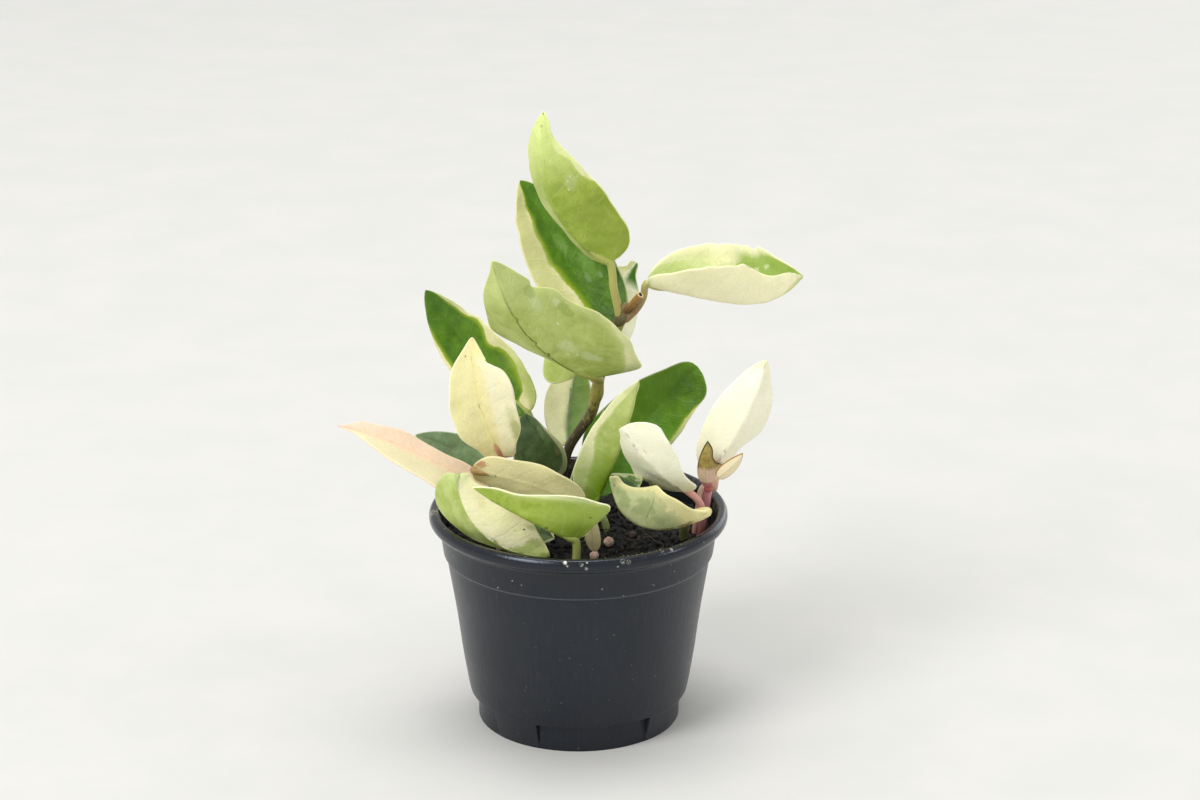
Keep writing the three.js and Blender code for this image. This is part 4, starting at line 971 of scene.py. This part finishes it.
# Each leaf stalk's colours at its foot and at the blade.
STALKS = {
    "leaf_top": ("c3b76c", "b4bb5c"), "leaf_top_behind": ("9aa24c", "8fa64a"),
    "leaf_front": ("9d9446", "9aa64a"), "leaf_back": ("b48a74", "c9b98c"),
    "leaf_right_high": ("9a7850", "b9b86a"), "leaf_left_back": ("8c9a4a", "9aa64a"),
    "leaf_pale": ("c98a74", "dd9f86"), "leaf_pink": ("c9907c", "dba98e"),
    "leaf_front_left": ("a9b06a", "b3c47a"), "leaf_front_centre": ("a39a66", "98a64c"),
    "leaf_tan": ("a88a5c", "b8935c"), "leaf_centre": ("8a9450", "8aa840"),
    "leaf_right_back": ("9cac6c", "a2b470"), "leaf_ivory": ("d07f84", "dfa49a"),
    # leaf_boat's foot colour is lighter than that stalk's own olive: painted light over the shade
    # it sits in.
    "leaf_boat": ("93a05c", "e6dd9c"), "leaf_white": ("c86a76", "e8bfa4"),
    "leaf_small": ("d79a90", "e8c4a8"), "leaf_dark_left": ("6a7a4a", "62784c"),
    "leaf_dark_centre": ("6a7a4a", "62784c"), "leaf_hanging": ("6a7a4a", "8a9a5c"),
    "leaf_narrow": ("7a7c60", "8f9c7c"), "leaf_low_pale": ("b89a70", "d8c796"),
    "leaf_low_dark": ("c07f78", "a8806c"),
}


def stem_material(name, start, end, bark=0.0, bark_code="5e4c33", turn=(0.1, 0.9)):
    """A stem or stalk whose colour runs from start to end, with streaks and some bark."""
    s = Shader(name + "_skin")
    u, _, _ = s.parts(s.attribute("leaf_at"))
    flat = s.attribute("leaf_mm")
    middle = s.noise(flat, 0.5, 3, 0.6)
    fine = s.noise(flat, 2.6, 3, 0.65)
    streak = s.noise(s.stretch(flat, (0.12, 1.6, 1.0)), 2.0, 3, 0.6)
    colour = s.mix(s.remap(s.centred(middle, 0.5, u), *turn), start, end)
    colour = s.paint(colour, s.remap(streak, 0.5, 0.72), 0.28, "d8c89a")
    colour = s.paint(colour, s.remap(fine, 0.5, 0.75), 0.3 + bark * 0.5, bark_code)
    height = s.line(streak, 0.8, s.times(fine, 0.5))
    return s.finish(s.scaled(colour, s.line(streak, 0.3, 0.85)), 0.42,
                    s.bump(height, 0.18 + 0.3 * bark), **glow(*STEM_GLOW))


SLOTS = {
    "leaf_green": "leaf_top leaf_front leaf_back leaf_front_left leaf_front_centre leaf_centre "
                  "leaf_boat leaf_hanging leaf_narrow",
    "leaf_dark": "leaf_top_behind leaf_left_back leaf_right_back leaf_dark_left "
                 "leaf_dark_centre leaf_low_dark",
    "leaf_cream": "leaf_right_high leaf_pale leaf_tan leaf_ivory leaf_white leaf_small "
                  "leaf_low_pale",
    "leaf_pink": "leaf_pink",
}
SLOT_OF = {name: slot for slot, names in SLOTS.items() for name in names.split()}

BLADES = {name: Blade(name, values) for name, values in LEAVES.items()}


def stalk_radius(r):
    """A stalk is thicker at its foot and thins out where it runs into the blade."""
    def radius(s):
        foot = 0.22 * math.exp(-(s / 0.14) ** 2)
        return r * (1 + foot - 0.72 * max(0, (s - 0.8) / 0.2) ** 1.3)
    return radius


# Where a stalk runs on under its blade: shares of the blade's length, and depths below it.
STALK_RUN = [0.05, 0.14]
STALK_DEPTHS = [0.25, 0.55]
# Each leaf's place in its noise patterns.
FIRST_SEED = 40.0
SEED_STEP = 17.0


def build_leaf(name, seed):
    blade = BLADES[name]
    run = np.array(STALK_RUN)
    _, _, up = blade.frame(run)
    ends = blade.midrib(run) - up * np.array(STALK_DEPTHS)[:, None]
    route = [*blade.v["stalk"], blade.base, *ends]
    stalk = tube(route, stalk_radius(blade.v["r"]), 18, 1.3, seed, kind=2)
    build(name + "_fine", [leaf_blade(blade, seed), stalk], name, SLOT_OF[name],
          leaf_material(name, "upper"), leaf_material(name, "under"),
          stem_material(name + "_stalk", *STALKS[name]))


for number, name in enumerate(LEAVES):
    build_leaf(name, FIRST_SEED + SEED_STEP * number)

# ---------- stems ----------
# swells: (share of length, gain, width) of each node. colours: at the foot and at the tip.

STEMS = {
    "vine": dict(
        path=[(-8, 22, 56), (-6.5, 19, 72), (-3.5, 12, 94.8), (4.2, 7, 109.5), (6.6, 2.5, 120),
              (7.4, 1, 126), (10, 2, 134), (15.5, 2, 148.5)],
        swells=[(0.2, -0.25, 0.34), (0.27, 0.12, 0.02), (0.68, 0.22, 0.03), (0.79, 0.1, 0.02)],
        r=2.05, colours=("4a4029", "a29a48"), bark=0.6, turn=(0.54, 0.7), slot="woody_stem"),
    "left_shoot": dict(
        path=[(-20, -2, 58), (-21, -3, 76), (-24, -4.6, 89), (-26, -5.8, 95.5)],
        swells=[(0.55, 0.15, 0.05), (0.85, 0.2, 0.06), (1.0, 0.15, 0.05)],
        r=1.6, colours=("8b8a50", "b09a70"), bark=0.2, slot="green_stem"),
    "back_shoot": dict(
        path=[(-14, 14, 58), (-13.8, 14, 80), (-15.2, 15, 99)],
        swells=[(0.5, 0.2, 0.05), (1.0, 0.1, 0.08)],
        r=1.6, colours=("6d7044", "8c9a4a"), bark=0.3, slot="green_stem"),
    "right_shoot": dict(
        path=[(40.5, 1, 58), (43.6, 0, 71), (45.2, -2.4, 86), (45.5, -3.6, 88.5)],
        swells=[(0.95, 0.2, 0.1)],
        r=1.7, colours=("8e2c44", "dc949a"), bark=0.0, slot="pink_stem"),
}
KNOT_PATH = [(13.6, 1.9, 144.2), (15.4, 1.6, 148), (16.6, 1.0, 150.4)]
STUB_PATH = [(15.6, 1, 148.5), (18, -2, 152), (21.4, -4.85, 156.8)]
SECOND_PATH = [(39, -2, 58), (41.6, -2, 74), (43, -3, 85), (45.4, -3.4, 88)]


def swollen_radius(r, swells):
    return lambda s: r * (1 + sum(gain * math.exp(-((s - at) / width) ** 2)
                                  for at, gain, width in swells))


def cut_stub():
    """The hollow stub: its skin, the cut rim and the hole have materials of their own; the hole's
    near-black brown is painted shade.
    """
    skin, rim, hole, sides = 2, 3, 4, 20
    stub = tube(STUB_PATH, lambda s: 1.08 + 0.12 * s, sides, 3, 622, uneven=0.05, cut_end=True)
    last_bands = [rim, rim, hole, skin, hole]
    kinds = [skin] * (len(stub[1]) - len(last_bands) * sides)
    return (*stub[:4], kinds + [kind for kind in last_bands for _ in range(sides)])


for number, (name, stem) in enumerate(STEMS.items()):
    parts = [tube(stem["path"], swollen_radius(stem["r"], stem["swells"]), 24, 1.5,
                  600 + number, uneven=0.045)]
    materials = [stem_material(name, *stem["colours"], bark=stem["bark"],
                               turn=stem.get("turn", (0.1, 0.9)))]
    if name == "vine":
        parts.append(tube(KNOT_PATH, lambda s: 1.95 + 0.6 * math.sin(math.pi * s), 24, 3, 621,
                          uneven=0.07, kind=1))
        parts.append(cut_stub())
        materials += [stem_material("vine_knot", "5c5232", "7c7048", 0.7),
                      stem_material("vine_stub", "7c5428", "a87838", 0.4, "5a3c1c"),
                      stem_material("stub_rim", "c9a878", "d8ba8c"),
                      # the inside of the stub's hole is near-black brown: painted shade in the
                      # hole
                      stem_material("stub_hole_painted_shade", "3a2612", "2a1a0c")]
    if name == "right_shoot":
        parts.append(tube(SECOND_PATH, lambda s: 1.0, 18, 1.5, 623, kind=1))
        materials.append(stem_material("pale_pink_stalk", "cf8088", "ecc8b8"))
    build(name + "_fine", parts, name, stem["slot"], *materials)

# ---------- pot ----------

RECESS_RADIUS = 35.9
RECESS_HALF = 31.6
FIRST_RECESS = -81.0
RECESSES = 4
RECESS_MIDDLES = [FIRST_RECESS + i * 360 / RECESSES for i in range(RECESSES)]
# The panels' rows, and how far their upper edge, a bright ledge, is cut back at each height.
PANEL_HEIGHTS = [2, 4, 6, 8, 9.0, 9.5, 9.75, 9.8, 9.86, 9.98, 10.15]
LEDGE_CUTS = {9.8: 0.8, 9.86: 0.5, 9.98: 0.2, 10.15: 0.0}
LEDGE_FOOT = 9.79
DRAIN_RADIUS = 4.0
DRAIN_RING = 23.0
POT_COLUMNS = 288
# Columns closer than the first angle are merged, and edges over the second stay sharp.
LEAST_STEP = 0.08
SHARP_EDGE = 38
# Where a panel's sloping side starts and ends, in degrees inside the panel's edge.
SLOPE_START = 0.9
SLOPE_END = 0.1
SLOPE_STEPS = (0.0, 0.2, 0.4, 0.6, 0.8, 1.0)
POT_FLOOR = 4.0
ROW_SPACING = 3.0

# (radius, height, rounding) of the profile's corners, from the foot to the lip and back down.
POT_OUTSIDE = [
    (36, 0, 0.8), (37.6, 6, 3), (39.2, 12, 3), (41.3, 25, 4), (43.3, 41, 5), (46, 57.5, 2.5),
    (46.55, 61.5, 0.5), (47.5, 61.9, 0.35), (47.7, 62.9, 0.4), (48.1, 66, 2), (48.9, 71.4, 0.8),
    (49.9, 72.8, 0.7), (51.6, 73.15, 0.7), (52.5, 74.5, 0.9), (52.5, 76.3, 0.9),
    (51.6, 77.7, 0.9), (50.4, 78, 0.8), (49.3, 77.6, 0.8), (48.6, 76.2, 0.9)]
POT_INSIDE = [(46.6, 66, 2), (45, 61, 3), (41.7, 41, 3), (38.2, 15, 1), (35.8, 12, 1),
              (33.6, 4, 1)]


def rounded(points, steps=4):
    """A profile of (radius, height, rounding) points with its corners rounded off."""
    corners = [np.array(point[:2], float) for point in points]
    line = [corners[0]]
    for before, here, after, (_, _, cut) in zip(corners, corners[1:], corners[2:], points[1:]):
        back, on = before - here, after - here
        d = min(cut, 0.45 * np.linalg.norm(back), 0.45 * np.linalg.norm(on))
        a, b = here + unit(back) * d, here + unit(on) * d
        line += [(1 - t) ** 2 * a + 2 * t * (1 - t) * here + t * t * b
                 for t in np.linspace(0, 1, steps + 1)]
    return [*line, corners[-1]]


def recess_share(angle):
    """1 inside a recessed panel, 0 outside it, with a short slope between them."""
    off = min(abs((math.degrees(angle) - middle + 180) % 360 - 180) for middle in RECESS_MIDDLES)
    return float(1 - smoothstep(off, RECESS_HALF - SLOPE_START, RECESS_HALF - SLOPE_END))


def pot_angles():
    """Even steps around the pot, and close ones on the slopes at the panels' sides."""
    angles = [2 * math.pi * k / POT_COLUMNS for k in range(POT_COLUMNS)]
    for middle in RECESS_MIDDLES:
        for edge in (-1, 1):
            for inset in SLOPE_STEPS:
                slope = math.radians(middle + edge * (RECESS_HALF - inset))
                angles.append(slope % (2 * math.pi))
    angles.sort()
    kept = [angles[0]]
    for angle in angles[1:]:
        if angle - kept[-1] > math.radians(LEAST_STEP):
            kept.append(angle)
    return kept


def outside_rows():
    """The outside's profile, with rows for the panels and for its long straight runs."""
    outside = rounded(POT_OUTSIDE)
    rows = []
    for (r, z), (next_r, next_z) in zip(outside, outside[1:]):
        rows.append((r, z))
        rows += [(r + (next_r - r) * (h - z) / (next_z - z), h)
                 for h in PANEL_HEIGHTS if z < h < next_z]
    rows.append(tuple(outside[-1]))
    fuller = [rows[0]]
    for (r, z), (next_r, next_z) in zip(rows, rows[1:]):
        parts = int(abs(next_z - z) // ROW_SPACING) + 1
        fuller += [(r + (next_r - r) * (k / parts), z + (next_z - z) * (k / parts))
                   for k in range(1, parts)]
        fuller.append((next_r, next_z))
    return fuller


def apply_cut(piece, cutter):
    """The piece's mesh with the cutter's volume taken away."""
    cut = piece.modifiers.new("cut", "BOOLEAN")
    cut.operation = "DIFFERENCE"
    cut.solver = "EXACT"
    cut.object = cutter
    shaped = piece.evaluated_get(bpy.context.evaluated_depsgraph_get())
    mesh = bpy.data.meshes.new_from_object(shaped)
    piece.modifiers.clear()
    piece.data = mesh
    bpy.data.objects.remove(cutter)


def drain_cutter(low=-2, high=8, sides=40):
    """Cylinders that cut the drain holes, one in the middle of each panel's direction."""
    vertices, faces = [], []
    for middle in RECESS_MIDDLES:
        angle = math.radians(middle)
        x, y = DRAIN_RING * math.cos(angle), DRAIN_RING * math.sin(angle)
        start = len(vertices)
        vertices += [(x + dx, y + dy, z) for z in (low, high)
                     for dx, dy in circle(DRAIN_RADIUS, sides)]
        faces += strip(start, start + sides, sides)
        faces += [tuple(range(start, start + sides))[::-1],
                  tuple(range(start + sides, start + 2 * sides))]
    return make_mesh("cutter", vertices, faces)


def build_pot():
    angles = pot_angles()
    shares = [recess_share(angle) for angle in angles]
    count = len(angles)
    vertices, faces = [], []

    def ring(r, z, cut=0.0):
        """A ring whose radius is less by cut inside the recessed panels."""
        for angle, share in zip(angles, shares):
            here = r - cut * share
            vertices.append((here * math.cos(angle), here * math.sin(angle), z))

    for r in (12, 24, 33):
        ring(r, 0.0)
    for r, z in outside_rows():
        if z < LEDGE_FOOT:
            ring(r, z, max(0.0, r - RECESS_RADIUS))
        else:
            ring(r, z, LEDGE_CUTS.get(round(z, 2), 0.0))
    for r, z in rounded([(48.6, 76.2, 1), *POT_INSIDE, (30, POT_FLOOR, 1)])[1:]:
        ring(r, z)
    for r in (20, 8):
        ring(r, POT_FLOOR)
    last = len(vertices) - count
    for start in range(0, last, count):
        faces += strip(start, start + count, count)
    faces += fan(0, count, last + count, flip=True) + fan(last, count, last + count + 1)
    vertices += [(0, 0, 0.0), (0, 0, POT_FLOOR)]
    piece = make_mesh("pot_fine", vertices, faces)
    apply_cut(piece, drain_cutter())
    mesh = piece.data
    mesh.polygons.foreach_set("use_smooth", np.ones(len(mesh.polygons), bool))
    mesh.set_sharp_from_angle(angle=math.radians(SHARP_EDGE))
    mesh.materials.clear()
    settle(piece, "pot", "pot_plastic", pot_material())


# Pale marks on the lip where the photo has them: place, size and colour.
LIP_MARKS = [((-4.1, -51.4, 77.2), 1.0, "dedcd2"), ((-3.2, -51.9, 76.4), 0.8, "c9c8bd"),
             ((1.4, -51.8, 76.6), 1.0, "9d9c94"), ((3.0, -52.4, 75.4), 0.8, "93928a"),
             ((15.3, -49.8, 77.0), 1.2, "a19f96"), ((17.2, -49.4, 76.6), 1.1, "85837a"),
             ((31.6, -40.4, 77.4), 1.0, "9b998e"), ((28.6, -42.6, 77.4), 0.9, "83817a"),
             ((-50.1, -6.0, 77.2), 3.6, "8d8974")]


def pot_material():
    """Satin charcoal plastic: fine grain, scuffs, dust near the lip, crumbs in the lip, and a
    painted highlight line below the lip.
    """
    s = Shader("charcoal_plastic")
    place = s.place()
    x, y, z = s.parts(place)
    broad = s.noise(place, 0.035, 3, 0.55)
    middle = s.noise(place, 0.25, 3, 0.6)
    fine = s.noise(place, 3.0, 2, 0.6)
    drawn = s.noise(s.stretch(place, (0.9, 0.9, 0.05)), 1.0, 3, 0.6)
    colour = s.mix(s.remap(broad, 0.3, 0.7), "101217", "17181d")
    colour = s.paint(colour, s.remap(drawn, 0.45, 0.75), 0.3, "27282d")
    # dust specks, denser towards the lip
    near_top = s.remap(z, 55.0, 70.0)
    size = s.remap(s.noise(place, 0.9, 1, 0.5), 0.55, 0.73)
    speck = s.remap(s.minus(s.cells(place, 0.42), s.times(size, 0.19)), 0.03, 0.0)
    speck = s.times(speck, s.line(near_top, 0.85, 0.15))
    colour = s.paint(colour, speck, 0.75, "b4b3aa")
    # thin scratches
    lines = s.noise(s.stretch(place, (0.16, 2.4, 2.4), (0.3, 0.5, 0.9)), 1.0, 2, 0.5)
    scratch = s.remap(s.math("ABSOLUTE", s.minus(lines, 0.5)), 0.006, 0.0)
    colour = s.paint(colour, s.times(scratch, s.remap(middle, 0.5, 0.68)), 0.22, "8a8a88")
    # dry soil smeared along the inner half of the lip, and damp soil below it
    radius = s.span(x, y)
    smear = s.times(s.times(s.remap(radius, 50.8, 49.4), s.remap(z, 73.0, 75.5)),
                    s.remap(middle, 0.42, 0.62))
    colour = s.paint(colour, smear, 0.55, "6f6347")
    below = s.times(s.remap(radius, 49.5, 48.0), s.remap(z, 64.0, 70.0))
    colour = s.paint(colour, below, 0.4, "1c1712")
    # painted highlight: a pale line along the collar's lower edge, and the marks on the lip
    collar_highlight = s.times(s.remap(z, 61.3, 61.7), s.remap(z, 62.5, 62.0))
    colour = s.paint(colour, collar_highlight, 0.35, "7c7e83")
    grain = s.noise(place, 1.3, 3, 0.7)
    for at, size, tone in LIP_MARKS:
        far = s.span(*[s.minus(axis, value) for axis, value in zip((x, y, z), at)])
        mark = s.times(s.remap(far, size, size * 0.4), s.remap(grain, 0.44, 0.54))
        colour = s.mix(mark, colour, tone)
    on_lip = s.remap(z, 70.5, 73.0)
    on_ledge = s.times(s.remap(z, 9.3, 9.75), s.remap(z, 10.6, 10.1))
    roughness = s.line(middle, 0.12, 0.27)
    for amount, factor in ((-0.14, on_lip), (-0.2, on_ledge), (0.3, speck), (0.3, smear)):
        roughness = s.line(factor, amount, roughness)
    height = s.line(fine, 0.35, s.times(drawn, 0.9))
    height = s.line(speck, 1.2, height)
    return s.finish(colour, roughness, s.bump(height, 0.07), Specular_IOR_Level=0.5,
                    Specular_Tint=(0.78, 0.86, 1.0, 1.0))


build_pot()

# ---------- soil ----------

SOIL_RADIUS = 46.7
SOIL_RINGS = 96
SOIL_SIDES = 260
# (radius, height) of the soil's side, from the pot's floor up.
SOIL_SIDE = [(33.2, 4.2), (35.3, 12.0), (37.7, 15.0), (41.2, 41.0), (44.6, 61.0), (46.2, 66.0)]
CRUMBS = 1500
LIP_CRUMBS = 240
PALE_LIP_CRUMBS = 70
PALE_CRUMB_ANGLE = -67
FIBRES = 110
FIBRE_STEPS = 4
FIBRE_LENGTHS = (4, 15)
# Name, the soil colours and the (x, y, size) of the coloured scraps the photo shows.
SCRAPS = [
    ("bark_chip", ("33241f", "4a3730", "66534a"),
     [(19, -5.5, 1.8), (21.3, -6.5, 1.3), (24, -3.5, 1.0), (33, -9, 1.1)]),
    ("pink_scrap", ("a8776c", "cfa596", "e6cbbb"),
     [(-27.5, -18, 1.7), (-25, -19, 1.3), (-24, -17, 1.0)])]


def soil_height(x, y):
    """The lie of the soil's top, the same as the solid's."""
    return (68.6 + 0.7 * np.sin(0.31 * x + 1.3) * np.sin(0.27 * y + 0.4)
            + 0.4 * np.sin(0.83 * x + 2.1) * np.sin(0.71 * y + 1.7))


def crumbly(x, y):
    """Soil height with lumps and pits of a few sizes."""
    point = Vector((x, y, 3.7))
    lumps = noise.fractal(point * 0.16, 0.9, 2.1, 4) * 0.9
    grains = abs(noise.noise(point * 0.55)) * 1.1
    small = noise.noise(point * 1.7) * 0.35
    return float(soil_height(x, y)) + lumps + grains + small - 0.3


def lip_height(r):
    """The height of the lip's inner side at a radius: steep at first, then rounding off."""
    return 76.2 + (r - 48.6) * 1.35 if r > 48.6 else 71.4 + (r - 47.3) * 3.7


def polar(r, angle):
    return r * math.cos(angle), r * math.sin(angle)


def soil_material(name, dark, brown, chip):
    """Damp soil: dark and brown patches with chips; a crumb's own tone adds more of the last."""
    s = Shader(name)
    place = s.place()
    own, _, _ = s.parts(s.attribute("leaf_at"))
    middle = s.noise(place, 0.5, 4, 0.65)
    fine = s.noise(place, 2.4, 4, 0.7)
    colour = s.mix(s.remap(middle, 0.35, 0.7), dark, brown)
    colour = s.paint(colour, s.remap(fine, 0.56, 0.72), 0.5, chip)
    colour = s.paint(colour, own, 0.8, chip)
    return s.finish(colour, s.line(fine, 0.4, 0.5), s.bump(s.line(fine, 0.8, middle), 0.5))


def build_soil():
    vertices = [(x, y, z) for radius, z in SOIL_SIDE for x, y in circle(radius, SOIL_SIDES)]
    for i in range(SOIL_RINGS, 0, -1):
        ring = circle(SOIL_RADIUS * i / SOIL_RINGS, SOIL_SIDES, turn=0.5 * (i % 2))
        vertices += [(x, y, crumbly(x, y)) for x, y in ring]
    last, bottom = len(vertices) - SOIL_SIDES, len(vertices)
    faces = []
    for start in range(0, last, SOIL_SIDES):
        faces += strip(start, start + SOIL_SIDES, SOIL_SIDES)
    faces += fan(0, SOIL_SIDES, bottom, flip=True) + fan(last, SOIL_SIDES, bottom + 1)
    vertices += [(0, 0, SOIL_SIDE[0][1]), (0, 0, crumbly(0, 0))]
    settle(make_mesh("soil_fine", vertices, faces), "soil", "soil",
           soil_material("potting_soil", "030202", "0a0807", "1d1712"))


def chunk(centre, size, rng):
    """A small irregular crumb: a rounded lump pulled out of true, with a tone of its own."""
    stretch = np.array([rng.uniform(0.6, 1.3) for _ in range(3)])
    turn = [rng.uniform(0, math.pi) for _ in range(2)]
    poles = [(0, 0, size * stretch[2]), (0, 0, -size * stretch[2])]
    points, faces = lump(4, 7, lambda d: size * rng.uniform(0.75, 1.15) * stretch * d, poles)
    c, d = math.cos(turn[0]), math.sin(turn[0])
    points = np.array(points) @ np.array([[c, -d, 0], [d, c, 0], [0, 0, 1]])
    c, d = math.cos(turn[1]), math.sin(turn[1])
    points = points @ np.array([[1, 0, 0], [0, c, -d], [0, d, c]])
    tone = rng.uniform(0, 1) ** 3
    return (points + np.array(centre), faces, [(tone, 0, 0)] * len(points), points.tolist(),
            [0] * len(faces))


def build_crumbs():
    rng = random.Random("crumbs")
    parts = []
    for _ in range(CRUMBS):
        r = (SOIL_RADIUS - 0.8) * math.sqrt(rng.random())
        x, y = polar(r, rng.uniform(0, 2 * math.pi))
        size = 0.35 + 1.0 * rng.random() ** 2.2
        parts.append(chunk((x, y, crumbly(x, y) + size * 0.35), size, rng))
    for _ in range(LIP_CRUMBS):
        angle = rng.gauss(-math.pi / 2, 0.75)
        r = rng.uniform(47.4, 49.6)
        size = rng.uniform(0.12, 0.34)
        parts.append(chunk((*polar(r, angle), lip_height(r)), size, rng))
    build("soil_crumbs", parts, None, "soil",
          soil_material("soil_crumb", "050403", "100d0b", "3a3027"))


def build_scraps():
    """The few coloured scraps the photo shows: bark, pink husk and pale crumbs on the lip."""
    rng = random.Random("scraps")
    for name, tones, spots in SCRAPS:
        parts = [chunk((x, y, crumbly(x, y) + size * 0.45), size, rng) for x, y, size in spots]
        build(name, parts, None, "soil", soil_material(name + "_skin", *tones))
    parts = []
    for _ in range(PALE_LIP_CRUMBS):
        angle = rng.gauss(math.radians(PALE_CRUMB_ANGLE), 0.1)
        r = rng.uniform(48.5, 49.7)
        size = rng.uniform(0.12, 0.3)
        parts.append(chunk((*polar(r, angle), 76.3 + (r - 48.5) * 1.3), size, rng))
    build("lip_crumbs", parts, None, "soil",
          soil_material("lip_crumb", "6c6244", "8f8560", "b3a982"))


def build_fibres():
    rng = random.Random("fibres")
    parts = []
    for _ in range(FIBRES):
        r = (SOIL_RADIUS - 4) * math.sqrt(rng.random())
        x, y = polar(r, rng.uniform(0, 2 * math.pi))
        heading = rng.uniform(0, 2 * math.pi)
        step = rng.uniform(*FIBRE_LENGTHS) / FIBRE_STEPS
        points = []
        for k in range(FIBRE_STEPS + 1):
            if math.hypot(x, y) > SOIL_RADIUS - 1.5:
                break
            lift = 0.5 + 1.0 * math.sin(math.pi * k / FIBRE_STEPS) * rng.random()
            points.append((x, y, crumbly(x, y) + lift))
            heading += rng.uniform(-0.6, 0.6)
            x += step * math.cos(heading)
            y += step * math.sin(heading)
        if len(points) < FIBRE_STEPS:
            continue
        thick = rng.uniform(0.1, 0.32)
        fibre = tube(points, lambda s, k=thick: k * (1 - 0.5 * s), 6, 1.0, 900, uneven=0.1)
        tone = rng.uniform(0.2, 1)
        parts.append((*fibre[:2], [(tone, 0, 0)] * len(fibre[0]), *fibre[3:]))
    build("soil_fibres", parts, None, "soil",
          soil_material("root_fibre", "17130f", "352b23", "5c5146"))


def build_pebble(name, centre, radius):
    middle = Vector(centre)

    def place(direction):
        d = Vector(direction)
        return middle + d * radius * (1 + 0.1 * noise.noise(d * 1.6 + middle)
                                      + 0.035 * noise.noise(d * 5 + middle))

    poles = [(centre[0], centre[1], centre[2] + sign * radius) for sign in (1, -1)]
    piece = make_mesh(name + "_fine", *lump(18, 28, place, poles))
    s = Shader(name + "_skin")
    at = s.place()
    fine = s.noise(at, 3.5, 3, 0.65)
    colour = s.mix(s.remap(s.noise(at, 0.7, 3, 0.6), 0.35, 0.65), "c39a88", "e4c8b4")
    colour = s.paint(colour, s.remap(fine, 0.55, 0.72), 0.6, "7a5240")
    settle(piece, name, "pebble", s.finish(colour, 0.7, s.bump(fine, 0.25)))


build_soil()
build_crumbs()
build_scraps()
build_fibres()
build_pebble("pebble_back", (10.6, -15, 70.2), 1.8)
build_pebble("pebble_front", (5.6, -26.5, 69.6), 1.6)

# ---------- bract ----------

BRACT = dict(
    base=(45.4, -6.1, 89), tip=(44.8, -9, 105.5), bow=(0, -0.4, 0), face=(0, 1, 0), width=8,
    fold=(25, 25), shape=(0.35, 0.9), bumps=[(-1, 0.32, 0.7, 0.09), (-1, 0.6, -0.4, 0.16)],
    ripple=0.7)


def build_bract():
    vertices, faces, at, flat, _ = leaf_blade(Blade("bract", BRACT), 811.0)
    s = Shader("dry_scale")
    u, _, rim = s.parts(s.attribute("leaf_at"))
    place = s.attribute("leaf_mm")
    streak = s.noise(s.stretch(place, (0.15, 2.0, 1.0)), 1.6, 3, 0.65)
    colour = s.mix(s.remap(s.noise(place, 0.6, 3, 0.6), 0.35, 0.7), "b3a15a", "8f7a36")
    colour = s.mix(s.remap(u, 0.42, 0.28), colour, "e2c8b0")
    colour = s.paint(colour, s.remap(streak, 0.5, 0.7), 0.4, "6e5a28")
    edge = s.times(s.remap(rim, 0.7, 0.25), s.remap(u, 0.3, 0.42))
    colour = s.mix(edge, colour, "4a3413")
    build("bract_fine", [(vertices, faces, at, flat, [0] * len(faces))], "bract", "dry_bract",
          s.finish(colour, 0.55, s.bump(streak, 0.2)))


build_bract()

# ---------- stage ----------

FLOOR_HALF = 6.0
SKY_STRENGTH = 0.68
# Name, place and target in metres, size in metres and power in watts.
LIGHTS = [("key", (-2.3, -2.2, 2.8), (0, 0, 0.12), 2.0, 89),
          ("top", (-0.2, 0.4, 3.2), (0, 0, 0.1), 1.8, 38),
          ("edge", (1.6, 2.0, 0.6), (0, 0, 0.05), 1.8, 11),
          ("glint", (2.3, -0.4, 1.3), (0, 0, 0.08), 0.35, 3.5)]
# The camera's place in metres, its tilt in degrees, its lens and sensor in millimetres.
CAMERA_PLACE = (0.0076, -0.9465, 0.440)
CAMERA_TILT = 71.17
CAMERA_LENS = 86.4
CAMERA_SENSOR = 36


def add_object(name, data):
    thing = bpy.data.objects.new(name, data)
    bpy.context.scene.collection.objects.link(thing)
    return thing


def make_floor():
    mesh = bpy.data.meshes.new("floor")
    side = FLOOR_HALF
    mesh.from_pydata([(-side, -side, 0), (side, -side, 0), (side, side, 0), (-side, side, 0)],
                     [], [(0, 1, 2, 3)])
    floor = add_object("floor", mesh)
    s = Shader("pale_floor")
    place = s.place()
    tone = s.mix(s.remap(s.noise(place, 0.02, 4, 0.6), 0.3, 0.7), "d1d1cd", "d5d4d0")
    fine = s.noise(place, 0.6, 2, 0.6)
    floor.data.materials.append(s.finish(tone, 0.85, s.bump(fine, 0.05)))


def make_lights():
    world = bpy.data.worlds.new("studio")
    world.use_nodes = True
    sky = world.node_tree.nodes["Background"]
    sky.inputs["Color"].default_value = (1.0, 1.0, 1.0, 1)
    sky.inputs["Strength"].default_value = SKY_STRENGTH
    bpy.context.scene.world = world
    for name, place, target, size, power in LIGHTS:
        data = bpy.data.lights.new(name, "AREA")
        data.shape = "DISK"
        data.size = size
        data.energy = power
        light = add_object(name, data)
        light.location = place
        heading = Vector(target) - Vector(place)
        light.rotation_euler = heading.to_track_quat("-Z", "Y").to_euler()


def make_camera():
    data = bpy.data.cameras.new("camera")
    data.sensor_width = CAMERA_SENSOR
    data.lens = CAMERA_LENS
    camera = add_object("camera", data)
    camera.location = CAMERA_PLACE
    camera.rotation_euler = (math.radians(CAMERA_TILT), 0, 0)
    bpy.context.scene.camera = camera


make_floor()
make_lights()
make_camera()
bpy.context.scene.view_settings.view_transform = "Standard"
